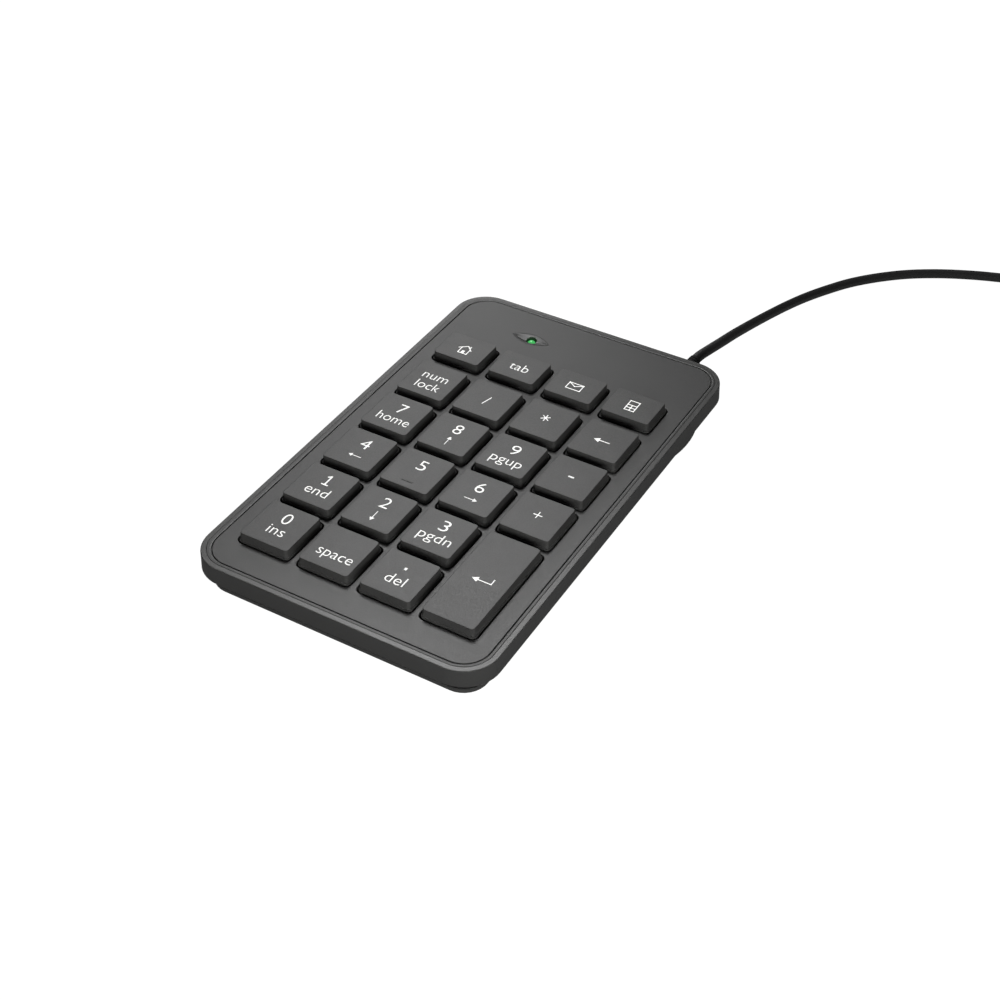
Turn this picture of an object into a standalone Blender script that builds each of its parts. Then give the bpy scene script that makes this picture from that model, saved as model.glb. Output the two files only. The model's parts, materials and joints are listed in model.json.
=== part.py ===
"""A wired, low-profile numeric keypad as an assembly of separate closed solids.

Lengths are in millimetres until they reach a mesh, which is in metres. The keypad's own pieces are
drawn in deck axes: X to the right, Y towards the cable end, Z out of the key deck, with zero in the
middle of the deck's surface. They hang from one empty, which tilts the deck by DECK_TILT so that the
feet stand on the world's Z = 0. The cable, its coil and its plug lie on that surface, in world axes.
"""

import math

import bmesh
import bpy
from mathutils import Vector

MM = 0.001

# Keys: a 19.05 mm grid of four columns, with one shallow row at the cable end
KEY_PITCH = 19.05
KEY_WIDTH = 15.35
KEY_DEPTH = 15.7
TOP_ROW_DEPTH = 12.1
TOP_ROW_Y = 41.2
FIRST_FULL_ROW_Y = 22.3
KEY_TOP = 2.65
KEY_TRAVEL = 2.0
KEY_DRAFT = 0.15
KEY_WALL = 1.1
CAP_CEILING = KEY_TOP - KEY_WALL
GUIDE_TOP = -3.5
SKIRT_BOTTOM = GUIDE_TOP + KEY_TRAVEL + 0.2
SKIRT_FLARE = 0.45
LEDGE_TOP = 0.3
LEDGE_BOTTOM = 0.15
KEY_NAMES = (
    ("home", "tab", "mail", "calculator"),
    ("num_lock", "divide", "multiply", "backspace"),
    ("7", "8", "9", "minus"),
    ("4", "5", "6", "plus"),
    ("1", "2", "3", "enter"),
    ("0", "space", "decimal"),
)

# Square stems slide in square barrels, and a collar under the barrel's lip holds each key in
STEM = 2.1
COLLAR = 2.9
COLLAR_TOP = -1.5
COLLAR_BOTTOM = -2.0
BARREL = 4.1
BARREL_TOP = -0.8
BORE = 3.25
LIP = 2.45
LIP_UNDERSIDE = -1.4

# Outer case
CASE_X = 45.4
CASE_Y = 74.45
CASE_CORNER = 10.6
CASE_WALL = 2.0
WALL_BOTTOM = -5.5
DECK_THICKNESS = 1.5
APERTURE_GAP = 0.5
APERTURE = SKIRT_FLARE + APERTURE_GAP
RIB_X = 37.9

# Bottom cover: a recessed flange, a belly that runs under the front and right walls, and a riser bar
FLANGE_BOTTOM = -5.2
FLANGE_TOP = -3.7
BELLY_LEFT = -39.6
BELLY_RIGHT = 43.8
BELLY_FRONT = -74.3
BELLY_REAR = 70.6
BELLY_BOTTOM = -7.2
FLOOR = 1.5
RISER_X = 42.6
RISER_BULGE = 2.3
RISER_Y = 51.4
RISER_HALF_DEPTH = 12.6

# Layers that are stacked on the bottom cover's floor
STACK_FRONT = -62.8
STACK_REAR = 48.2
STACK_X = 37.4
MEMBRANE_THICKNESS = 0.2
MEMBRANE_BOTTOMS = {"membrane_bottom_layer": -5.6, "membrane_spacer": -5.3, "membrane_top_layer": -5.0}
TAIL_X = 12.0
TAIL_REAR = 58.0
DOME_SHEET_BOTTOM = -4.7
DOME_SHEET_TOP = -4.4
DOME_TOP = -2.2
GUIDE_BOTTOM = -4.3

# Electronics over the riser
BOARD_TOP = -5.75
BOARD_THICKNESS = 1.2
BOARD_FRONT = 46.2
BOARD_REAR = 61.2
BOARD_X = 31.0
CLAMP_Y = 53.2
CLAMP_BOTTOM = -4.65
CLAMP_TOP = -3.3
BOARD_SCREW_X = 18.5
LED_X = -15.4
LED_Y = 58.85
LED_RADIUS = 1.45
LED_TOP = -0.35
EYE_CENTRE = (-15.7, 59.0)
EYE_HALF_LENGTH = 5.6
EYE_HALF_WIDTH = 2.3
EYE_DEPTH = 0.55

# Fasteners and feet
CASE_SCREWS = {
    "front_left": (-34.7, -66.7),
    "front_right": (34.7, -66.7),
    "rear_left": (-22.0, 66.5),
    "rear_right": (22.0, 66.5),
}
FRONT_FOOT_Y = -64.0
FRONT_FOOT_HEIGHT = 1.0
REAR_FOOT_HEIGHT = 1.0
FOOT_GAP = 0.1
FEET = {
    "front_left": (-25.0, FRONT_FOOT_Y, 6.5, 2.5),
    "front_right": (25.0, FRONT_FOOT_Y, 6.5, 2.5),
    "rear_left": (-30.0, RISER_Y, 6.0, 4.0),
    "rear_right": (30.0, RISER_Y, 6.0, 4.0),
}

# The deck rises towards the cable end, because the riser is deeper than the belly
DECK_TILT = math.radians(3.0)
REST_AT_FRONT_FOOT = BELLY_BOTTOM - FRONT_FOOT_HEIGHT
RISER_BOTTOM = (
    REST_AT_FRONT_FOOT - math.tan(DECK_TILT) * (RISER_Y - FRONT_FOOT_Y) + REAR_FOOT_HEIGHT
)

# Enter key's stabiliser wire, which turns in two clips on the guide frame
WIRE_RADIUS = 0.45
WIRE_PIVOT_X = -5.2
WIRE_PIVOT_Z = -1.35
WIRE_TIP_X = 1.0
WIRE_TIP_RISE = 1.0
WIRE_HALF_LENGTH = 13.0
WIRE_HOOK_Y = 11.8
WIRE_CLIP_Y = 9.0

# Cable: it leaves the rear wall through a grommet and lies on the table
CABLE_RADIUS = 1.6
CABLE_X = 31.0
CABLE_Z = -3.4
GROMMET_END = 79.5
FACE_GAP = 0.3
CABLE_ROUTE = (
    (31.0, 79.3, 12.3),
    (31.3, 83.0, 12.2),
    (32.3, 88.5, 12.0),
    (33.3, 94.5, 11.6),
    (34.1, 101.5, 10.8),
    (35.0, 109.5, 9.6),
    (36.0, 118.5, 8.1),
    (37.1, 128.0, 6.4),
    (38.6, 138.5, 4.6),
    (40.9, 149.3, 3.0),
    (44.4, 159.4, 2.0),
    (49.5, 169.2, 1.7),
    (56.4, 178.3, 1.6),
    (64.5, 186.3, 1.6),
    (73.9, 193.0, 1.6),
    (83.8, 198.3, 1.6),
    (92.7, 202.0, 1.6),
    (101.5, 204.9, 1.7),
    (110.5, 206.7, 2.5),
    (120.8, 207.6, 4.0),
)
TAIL_ROUTE = (
    (160.0, 167.6, 2.2),
    (160.1, 161.0, 1.9),
    (160.0, 155.5, 2.3),
    (160.2, 150.5, 3.4),
    (160.2, 146.3, 4.0),
)

# Coil of the stored length: two layers of turns, side by side
COIL_CENTRE = (133.6, 180.4)
COIL_MEAN_RADIUS = 19.8
COIL_COLUMNS = 5
COIL_BOTTOM = 0.7
COIL_HEIGHT = 6.3
TIE_GAP = 0.3
TIE_THICKNESS = 0.5
TIE_HALF_WIDTH = 2.0

# Plug at the cable's far end, pointing along -Y
PLUG_X = 160.2
PLUG_Z = 4.0
OVERMOULD_FRONT = 116.0
POCKET_DEPTH = 3.0
SHELL_BACK = OVERMOULD_FRONT + POCKET_DEPTH - FACE_GAP
SHELL_FRONT = 103.7


# ---------------------------------------------------------------- materials


def make_material(name, colour, roughness, metallic=0.0, alpha=1.0):
    material = bpy.data.materials.new(name)
    material.use_nodes = True
    shader = material.node_tree.nodes["Principled BSDF"]
    shader.inputs["Base Color"].default_value = (*colour, 1.0)
    shader.inputs["Roughness"].default_value = roughness
    shader.inputs["Metallic"].default_value = metallic
    shader.inputs["Alpha"].default_value = alpha
    material.diffuse_color = (*colour, 1.0)
    return material


def make_materials():
    return {
        "key_plastic": make_material("key_plastic", (0.075, 0.075, 0.072), 0.55),
        "case_plastic": make_material("case_plastic", (0.085, 0.085, 0.082), 0.5),
        "guide_plastic": make_material("guide_plastic", (0.05, 0.05, 0.05), 0.6),
        "silicone": make_material("silicone", (0.55, 0.55, 0.56), 0.6),
        "membrane_film": make_material("membrane_film", (0.72, 0.75, 0.72), 0.3),
        "circuit_board": make_material("circuit_board", (0.03, 0.16, 0.06), 0.45),
        "chip_epoxy": make_material("chip_epoxy", (0.02, 0.02, 0.02), 0.35),
        "led_epoxy": make_material("led_epoxy", (0.15, 0.75, 0.2), 0.15),
        "header_plastic": make_material("header_plastic", (0.8, 0.78, 0.7), 0.5),
        "steel": make_material("steel", (0.6, 0.6, 0.62), 0.3, metallic=1.0),
        "rubber": make_material("rubber", (0.03, 0.03, 0.03), 0.85),
        "cable_jacket": make_material("cable_jacket", (0.045, 0.045, 0.045), 0.5),
        "plug_plastic": make_material("plug_plastic", (0.05, 0.05, 0.05), 0.45),
        "tie_plastic": make_material("tie_plastic", (0.02, 0.02, 0.02), 0.4),
        "tongue_plastic": make_material("tongue_plastic", (0.85, 0.85, 0.83), 0.5),
    }


# ---------------------------------------------------------------- outlines, in millimetres


def rounded(half_x, half_y, corner, steps=2, centre=(0.0, 0.0)):
    """A rectangle with round corners, counter-clockwise, with `steps` chords on each corner."""
    points = []
    turns = ((1, -1, -90), (1, 1, 0), (-1, 1, 90), (-1, -1, 180))
    for side_x, side_y, start in turns:
        for step in range(steps + 1):
            angle = math.radians(start + 90 * step / steps)
            x = side_x * (half_x - corner) + corner * math.cos(angle)
            y = side_y * (half_y - corner) + corner * math.sin(angle)
            points.append((centre[0] + x, centre[1] + y))
    return points


def between(low_x, high_x, low_y, high_y, corner, steps=2):
    """A rounded rectangle that is given by its sides instead of its centre."""
    centre = ((low_x + high_x) / 2, (low_y + high_y) / 2)
    return rounded((high_x - low_x) / 2, (high_y - low_y) / 2, corner, steps, centre)


def square(half, centre):
    x, y = centre
    return [(x + half, y - half), (x + half, y + half), (x - half, y + half), (x - half, y - half)]


def circle(radius, sides, centre=(0.0, 0.0)):
    turns = [2 * math.pi * (n + 0.5) / sides for n in range(sides)]
    return [(centre[0] + radius * math.cos(t), centre[1] + radius * math.sin(t)) for t in turns]


def riser_outline(inset, steps=8):
    """The riser bar in plan: straight along X, with shallow convex ends."""
    half_depth = RISER_HALF_DEPTH - inset
    points = []
    for side in (1, -1):
        for step in range(steps + 1):
            across = side * (2 * step / steps - 1)
            x = side * (RISER_X - inset - RISER_BULGE * across * across)
            points.append((x, RISER_Y + half_depth * across))
    return points


def eye_outline(half_length, half_width, centre, steps=6):
    """Two shallow arcs that meet in points, like an eye."""
    points = []
    for side in (1, -1):
        for step in range(steps):
            across = 1 - 2 * step / steps
            x = side * half_length * across
            y = side * half_width * (1 - across * across)
            points.append((centre[0] + x, centre[1] + y))
    return points


def membrane_outline(with_tail):
    """The sheet's outline, with the tail that reaches back over the circuit board."""
    right = [(STACK_X, STACK_FRONT), (STACK_X, STACK_REAR)]
    left = [(-STACK_X, STACK_REAR), (-STACK_X, STACK_FRONT)]
    tail = [(TAIL_X, STACK_REAR), (TAIL_X, TAIL_REAR), (-TAIL_X, TAIL_REAR), (-TAIL_X, STACK_REAR)]
    return right + tail + left if with_tail else right + left


# ---------------------------------------------------------------- solids from outlines


def level(outline, z):
    return [(x, y, z) for x, y in outline]


def upright(outline, y):
    """An outline in X and Z, standing at one Y."""
    return [(x, y, z) for x, z in outline]


def prism(outline, bottom, top):
    return [level(outline, bottom), level(outline, top)]


def add_body(mesh, loops):
    """Joins loops of equal length into one closed body, with a cap on the first and the last."""
    rings = [[mesh.verts.new([value * MM for value in point]) for point in loop] for loop in loops]
    count = len(rings[0])
    mesh.faces.new(rings[0])
    mesh.faces.new(rings[-1])
    for lower, upper in zip(rings, rings[1:]):
        for n in range(count):
            after = (n + 1) % count
            mesh.faces.new((lower[n], lower[after], upper[after], upper[n]))


def add_object(name, data, material, parent=None, at=(0.0, 0.0, 0.0)):
    piece = bpy.data.objects.new(name, data)
    piece.parent = parent
    piece.location = [value * MM for value in at]
    bpy.context.scene.collection.objects.link(piece)
    if material:
        data.materials.append(material)
    return piece


def make_mesh(name, bodies):
    mesh = bmesh.new()
    for loops in bodies:
        add_body(mesh, loops)
    bmesh.ops.recalc_face_normals(mesh, faces=mesh.faces)
    data = bpy.data.meshes.new(name)
    mesh.to_mesh(data)
    mesh.free()
    data.set_sharp_from_angle(angle=math.radians(35))
    return data


def make_solid(name, loops, material, parent=None, at=(0.0, 0.0, 0.0)):
    return add_object(name, make_mesh(name, [loops]), material, parent, at)


def make_tool(name, bodies, parent):
    """A hidden helper for a Boolean: one mesh that may hold several bodies."""
    tool = add_object(name, make_mesh(name, bodies), None, parent)
    tool.hide_render = True
    tool.display_type = "WIRE"
    return tool


def combine(piece, operation, label, bodies):
    """Adds bodies to a piece, or cuts them from it. They are drawn in the piece's own axes."""
    tool = make_tool(f"{piece.name}.{label}", bodies, piece)
    modifier = piece.modifiers.new(label, "BOOLEAN")
    modifier.operation = operation
    modifier.solver = "EXACT"
    modifier.object = tool


def add(piece, label, bodies):
    combine(piece, "UNION", label, bodies)


def cut(piece, label, bodies):
    combine(piece, "DIFFERENCE", label, bodies)


def turned(centre, profile, sides):
    """Loops of a piece turned about an upright axis, from (radius, z) pairs."""
    return [level(circle(radius, sides, centre), z) for radius, z in profile]


def smooth_route(points, spacing):
    """Points at an even spacing along a smooth curve through the given ones."""
    knots = [Vector(point) for point in points]
    ends = [2 * knots[0] - knots[1], *knots, 2 * knots[-1] - knots[-2]]
    fine = []
    for before, start, stop, after in zip(ends, ends[1:], ends[2:], ends[3:]):
        for step in range(20):
            t = step / 20
            pull = (2 * start - 2 * stop + (stop - before) / 2 + (after - start) / 2) * t**3
            ease = (3 * stop - 3 * start - (stop - before) - (after - start) / 2) * t**2
            fine.append(start + (stop - before) / 2 * t + ease + pull)
    fine.append(knots[-1])
    total = sum((b - a).length for a, b in zip(fine, fine[1:]))
    gap = total / max(1, round(total / spacing))
    spaced = [fine[0]]
    travelled = 0.0
    for a, b in zip(fine, fine[1:]):
        travelled += (b - a).length
        if travelled >= gap * len(spaced) and len(spaced) * gap < total - gap / 2:
            spaced.append(b)
    return [*spaced, fine[-1]]


def make_tube(name, points, radius, resolution, material, parent=None, at=(0.0, 0.0, 0.0)):
    data = bpy.data.curves.new(name, "CURVE")
    data.dimensions = "3D"
    data.bevel_depth = radius * MM
    data.bevel_resolution = resolution
    data.use_fill_caps = True
    spline = data.splines.new("POLY")
    spline.points.add(len(points) - 1)
    for control, point in zip(spline.points, points):
        control.co = (point[0] * MM, point[1] * MM, point[2] * MM, 1.0)
    return add_object(name, data, material, parent, at)


# ---------------------------------------------------------------- keys


def row_y(row):
    return TOP_ROW_Y if row == 0 else FIRST_FULL_ROW_Y - (row - 1) * KEY_PITCH


def key_layout():
    """Each key's name, centre and size of its flat top."""
    keys = []
    for row, names in enumerate(KEY_NAMES):
        for column, name in enumerate(names):
            x = (column - 1.5) * KEY_PITCH
            y = row_y(row)
            depth = TOP_ROW_DEPTH if row == 0 else KEY_DEPTH
            if name == "enter":
                y -= KEY_PITCH / 2
                depth += KEY_PITCH
            keys.append((name, (x, y), (KEY_WIDTH, depth)))
    return keys


def key_loops(width, depth):
    """From the flat top down the outside, up the inside, and down the stem to its collar."""

    def ring(outset, corner, z):
        return level(rounded(width / 2 + outset, depth / 2 + outset, corner, 1), z)

    def stem(half, z):
        return level(rounded(half, half, 0.4, 1), z)

    return [
        ring(-0.25, 0.4, KEY_TOP),
        ring(0.0, 0.6, KEY_TOP - 0.25),
        ring(KEY_DRAFT, 0.8, LEDGE_TOP),
        ring(SKIRT_FLARE, 1.0, LEDGE_BOTTOM),
        ring(SKIRT_FLARE, 1.0, SKIRT_BOTTOM),
        ring(SKIRT_FLARE - KEY_WALL, 0.5, SKIRT_BOTTOM),
        ring(-KEY_WALL, 0.5, CAP_CEILING),
        stem(STEM, CAP_CEILING),
        stem(STEM, COLLAR_TOP),
        stem(COLLAR, COLLAR_TOP),
        stem(COLLAR - 0.1, COLLAR_BOTTOM),
    ]


def add_enter_hooks(piece):
    """Two hooks inside the long key, which hold the stabiliser wire's tips."""
    tip_z = WIRE_PIVOT_Z + WIRE_TIP_RISE
    hooks = []
    windows = []
    for side in (-1, 1):
        middle = side * WIRE_HOOK_Y
        hook = between(-0.2, 2.2, middle - 0.5, middle + 0.5, 0.1, 1)
        hooks.append(prism(hook, tip_z - 1.3, CAP_CEILING + 0.3))
        window = between(0.25, 1.75, middle - 1.0, middle + 1.0, 0.1, 1)
        windows.append(prism(window, tip_z - 0.65, tip_z + 0.65))
    add(piece, "hooks", hooks)
    cut(piece, "hook_windows", windows)


def make_keys(materials, deck):
    for name, (x, y), (width, depth) in key_layout():
        loops = key_loops(width, depth)
        piece = make_solid(f"key_{name}", loops, materials["key_plastic"], deck, (x, y, 0.0))
        if name == "5":
            bar = between(-1.8, 1.8, -5.6, -5.1, 0.2, 1)
            add(piece, "locating_bar", [prism(bar, KEY_TOP - 0.5, KEY_TOP + 0.3)])
        if name == "enter":
            add_enter_hooks(piece)


# ---------------------------------------------------------------- case


def cable_notch(radius, low_y, high_y):
    """A slot open at the bottom, with a round top, cut through the rear wall."""
    arch = [math.radians(angle) for angle in range(0, 181, 30)]
    outline = [(CABLE_X + radius * math.cos(a), CABLE_Z + radius * math.sin(a)) for a in arch]
    outline += [(CABLE_X - radius, WALL_BOTTOM - 1), (CABLE_X + radius, WALL_BOTTOM - 1)]
    return [upright(outline, low_y), upright(outline, high_y)]


def make_top_cover(materials, deck):
    steps = 5
    outside = [
        level(rounded(CASE_X, CASE_Y, CASE_CORNER, steps), WALL_BOTTOM),
        level(rounded(CASE_X - 0.45, CASE_Y - 0.45, CASE_CORNER - 0.4, steps), -0.8),
        level(rounded(CASE_X - 0.75, CASE_Y - 0.75, CASE_CORNER - 0.8, steps), -0.4),
        level(rounded(CASE_X - 1.9, CASE_Y - 1.9, CASE_CORNER - 1.9, steps), 0.0),
    ]
    piece = make_solid("top_cover", outside, materials["case_plastic"], deck)
    inner_x = CASE_X - CASE_WALL
    inner_y = CASE_Y - CASE_WALL
    inner_corner = CASE_CORNER - CASE_WALL
    inside = [
        level(rounded(inner_x, inner_y, inner_corner, steps), WALL_BOTTOM - 1),
        level(rounded(inner_x - 0.3, inner_y - 0.3, inner_corner, steps), -DECK_THICKNESS),
    ]
    cut(piece, "inside", [inside])
    ribs = []
    for side in (-1, 1):
        rib = rounded(0.6, 52.0, 0.2, 1, (side * RIB_X, -8.0))
        ribs.append(prism(rib, GUIDE_TOP + 0.2, -DECK_THICKNESS + 0.5))
    add(piece, "ribs", ribs)
    spots = list(CASE_SCREWS.values())
    bosses = [turned(spot, [(2.3, -4.6), (2.3, -DECK_THICKNESS + 0.5)], 12) for spot in spots]
    add(piece, "bosses", bosses)
    cut(piece, "screw_holes", [turned(spot, [(1.25, -5.0), (1.25, -2.2)], 8) for spot in spots])
    apertures = []
    for _, centre, size in key_layout():
        outline = rounded(size[0] / 2 + APERTURE, size[1] / 2 + APERTURE, 1.6, 2, centre)
        apertures.append(prism(outline, -DECK_THICKNESS - 0.5, 1.0))
    cut(piece, "key_apertures", apertures)
    eye = eye_outline(EYE_HALF_LENGTH, EYE_HALF_WIDTH, EYE_CENTRE)
    cut(piece, "led_recess", [prism(eye, -EYE_DEPTH, 1.0)])
    hole = LED_RADIUS + 0.3
    led_hole = turned((LED_X, LED_Y), [(hole, -DECK_THICKNESS - 0.5), (hole, 1.0)], 12)
    cut(piece, "led_hole", [led_hole])
    cut(piece, "cable_notch", [cable_notch(2.25, CASE_Y - CASE_WALL - 1.5, CASE_Y + 1)])


def make_bottom_cover(materials, deck):
    flange = rounded(CASE_X - 2.5, CASE_Y - 2.35, CASE_CORNER - 2.3, 4)
    piece = make_solid(
        "bottom_cover", prism(flange, FLANGE_BOTTOM, FLANGE_TOP), materials["case_plastic"], deck
    )
    belly_top = FLANGE_BOTTOM + 1.2
    inner_belly = between(BELLY_LEFT, BELLY_RIGHT - 2.5, BELLY_FRONT + 2.5, BELLY_REAR, 6.0, 3)
    add(piece, "belly", [prism(inner_belly, WALL_BOTTOM - 0.5, belly_top)])
    lip = between(BELLY_LEFT, BELLY_RIGHT, BELLY_FRONT, BELLY_REAR, 7.0, 3)
    lip_edge = between(
        BELLY_LEFT + 0.6, BELLY_RIGHT - 0.6, BELLY_FRONT + 0.6, BELLY_REAR - 0.6, 6.4, 3
    )
    lip_loops = [
        level(lip_edge, BELLY_BOTTOM),
        level(lip, BELLY_BOTTOM + 0.6),
        level(lip, WALL_BOTTOM - 0.3),
    ]
    add(piece, "belly_lip", [lip_loops])
    riser = [
        level(riser_outline(1.2), RISER_BOTTOM),
        level(riser_outline(0.3), RISER_BOTTOM + 1.0),
        level(riser_outline(0.0), FLANGE_BOTTOM + 0.8),
    ]
    add(piece, "riser", [riser])
    floor_top = BELLY_BOTTOM + FLOOR
    hollow = between(
        BELLY_LEFT + FLOOR, BELLY_RIGHT - 4.0, BELLY_FRONT + 4.0, BELLY_REAR - FLOOR, 5.0, 3
    )
    cut(piece, "belly_hollow", [prism(hollow, floor_top, 1.0)])
    riser_hollow = [
        level(riser_outline(FLOOR + 1.0), RISER_BOTTOM + FLOOR),
        level(riser_outline(FLOOR + 0.2), floor_top + 0.4),
    ]
    cut(piece, "riser_hollow", [riser_hollow])
    add_bottom_bosses(piece)
    cable_passages = [
        prism(between(CABLE_X - 3.8, CABLE_X + 3.8, 70.05, 74.0, 0.2, 1), -5.9, 1.0),
        prism(between(CABLE_X - 1.8, CABLE_X + 1.8, 66.0, 70.4, 0.2, 1), -5.4, 1.1),
    ]
    cut(piece, "cable_passage", cable_passages[:1])
    cut(piece, "lead_passage", cable_passages[1:])


def add_bottom_bosses(piece):
    """Bosses, through holes and counterbores for the case screws, and pillars for the board."""
    spots = list(CASE_SCREWS.values())
    floor_top = BELLY_BOTTOM + FLOOR
    bosses = [turned(spot, [(2.6, floor_top - 0.4), (2.6, -4.9)], 12) for spot in spots]
    board_spots = [(side * BOARD_SCREW_X, CLAMP_Y) for side in (-1, 1)]
    pillar_top = BOARD_TOP - BOARD_THICKNESS - 0.1
    for spot in board_spots:
        bosses.append(turned(spot, [(2.5, RISER_BOTTOM + 1.0), (2.5, pillar_top)], 12))
    add(piece, "bosses", bosses)
    holes = [turned(spot, [(1.25, -8.0), (1.25, -4.0)], 8) for spot in spots]
    holes += [turned(spot, [(1.1, RISER_BOTTOM + 2.2), (1.1, -6.0)], 8) for spot in board_spots]
    cut(piece, "screw_holes", holes)
    recesses = [turned(spot, [(2.25, -8.2), (2.25, -5.9)], 12) for spot in spots]
    cut(piece, "screw_recesses", recesses)


def make_case_screws(materials, deck):
    profile = [(1.5, -7.0), (1.9, -6.8), (1.9, -6.05), (0.95, -6.05), (0.95, -2.9), (0.4, -2.5)]
    for place, spot in CASE_SCREWS.items():
        piece = make_solid(f"case_screw_{place}", turned(spot, profile, 8), materials["steel"], deck)
        slots = [
            prism(rounded(1.1, 0.25, 0.05, 1, spot), -7.5, -6.5),
            prism(rounded(0.25, 1.1, 0.05, 1, spot), -7.6, -6.55),
        ]
        cut(piece, "slot_across", slots[:1])
        cut(piece, "slot_along", slots[1:])


def rest_height(y):
    """The table's surface, in deck axes."""
    return REST_AT_FRONT_FOOT - math.tan(DECK_TILT) * (y - FRONT_FOOT_Y)


def make_feet(materials, deck):
    for place, (x, y, half_x, half_y) in FEET.items():
        under = BELLY_BOTTOM if "front" in place else RISER_BOTTOM
        outline = rounded(half_x, half_y, min(half_x, half_y) - 0.1, 3, (x, y))
        inner = rounded(half_x - 0.2, half_y - 0.2, min(half_x, half_y) - 0.3, 3, (x, y))
        loops = [
            [(px, py, rest_height(py)) for px, py in inner],
            [(px, py, rest_height(py) + 0.2) for px, py in outline],
            level(outline, under - FOOT_GAP),
        ]
        make_solid(f"foot_{place}", loops, materials["rubber"], deck)


# ---------------------------------------------------------------- what lies under the keys


def make_guide_frame(materials, deck):
    centres = {name: centre for name, centre, _ in key_layout()}
    plate = between(-STACK_X - 0.2, STACK_X + 0.2, STACK_FRONT - 0.4, STACK_REAR + 0.4, 1.0, 1)
    piece = make_solid(
        "key_guide_frame", prism(plate, GUIDE_BOTTOM, GUIDE_TOP), materials["guide_plastic"], deck
    )
    barrels = [prism(square(BARREL, c), GUIDE_BOTTOM + 0.3, BARREL_TOP) for c in centres.values()]
    enter_x, enter_y = centres["enter"]
    pivot_x = enter_x + WIRE_PIVOT_X
    for side in (-1, 1):
        clip = rounded(1.15, 0.8, 0.1, 1, (pivot_x, enter_y + side * WIRE_CLIP_Y))
        barrels.append(prism(clip, GUIDE_BOTTOM + 0.3, WIRE_PIVOT_Z + 0.3))
    add(piece, "barrels", barrels)
    bores = []
    for centre in centres.values():
        bores.append(
            [
                level(square(BORE, centre), GUIDE_BOTTOM - 0.5),
                level(square(BORE, centre), LIP_UNDERSIDE),
                level(square(LIP, centre), LIP_UNDERSIDE),
                level(square(LIP, centre), BARREL_TOP + 0.5),
            ]
        )
    for side in (-1, 1):
        slot = rounded(0.65, 1.2, 0.05, 1, (pivot_x, enter_y + side * WIRE_CLIP_Y))
        bores.append(prism(slot, WIRE_PIVOT_Z - 0.65, 0.0))
        middle = enter_y + side * WIRE_HOOK_Y
        window = between(enter_x - 0.7, enter_x + 2.7, middle - 1.0, middle + 1.0, 0.1, 1)
        bores.append(prism(window, GUIDE_BOTTOM - 0.5, GUIDE_TOP + 0.5))
    cut(piece, "bores", bores)


def make_dome_sheet(materials, deck):
    sheet = between(-STACK_X, STACK_X, STACK_FRONT, STACK_REAR, 1.0, 1)
    piece = make_solid(
        "rubber_dome_sheet", prism(sheet, DOME_SHEET_BOTTOM, DOME_SHEET_TOP), materials["silicone"], deck
    )
    outside = [(3.05, DOME_SHEET_BOTTOM + 0.1), (3.05, DOME_SHEET_TOP + 0.2), (1.9, DOME_TOP)]
    inside = [(2.3, DOME_SHEET_BOTTOM - 0.5), (2.3, DOME_SHEET_TOP), (1.3, DOME_TOP - 0.6)]
    centres = [centre for _, centre, _ in key_layout()]
    add(piece, "domes", [turned(centre, outside, 8) for centre in centres])
    cut(piece, "dome_hollows", [turned(centre, inside, 8) for centre in centres])


def make_membranes(materials, deck):
    for name, bottom in MEMBRANE_BOTTOMS.items():
        outline = membrane_outline(with_tail=name != "membrane_spacer")
        loops = prism(outline, bottom, bottom + MEMBRANE_THICKNESS)
        piece = make_solid(name, loops, materials["membrane_film"], deck)
        if name == "membrane_spacer":
            holes = [(2.0, bottom - 0.5), (2.0, bottom + 0.7)]
            cut(piece, "switch_holes", [turned(centre, holes, 6) for _, centre, _ in key_layout()])


def make_stabiliser_wire(materials, deck):
    """A U of wire: it pivots on its long run, and its turned-in tips ride in the Enter key."""
    enter_x, enter_y = {name: centre for name, centre, _ in key_layout()}["enter"]
    reach = WIRE_TIP_X - WIRE_PIVOT_X
    bend = 0.7

    def point(x, y):
        return (x, y, x * WIRE_TIP_RISE / reach)

    half = [
        point(reach, WIRE_HOOK_Y - 0.9),
        point(reach, WIRE_HALF_LENGTH - bend),
        point(reach - bend, WIRE_HALF_LENGTH),
        point(bend, WIRE_HALF_LENGTH),
        point(0.0, WIRE_HALF_LENGTH - bend),
    ]
    other = [(x, -y, z) for x, y, z in reversed(half)]
    pivot = (enter_x + WIRE_PIVOT_X, enter_y, WIRE_PIVOT_Z)
    steel = materials["steel"]
    make_tube("enter_stabiliser_wire", half + other, WIRE_RADIUS, 1, steel, deck, pivot)


# ---------------------------------------------------------------- electronics


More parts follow.
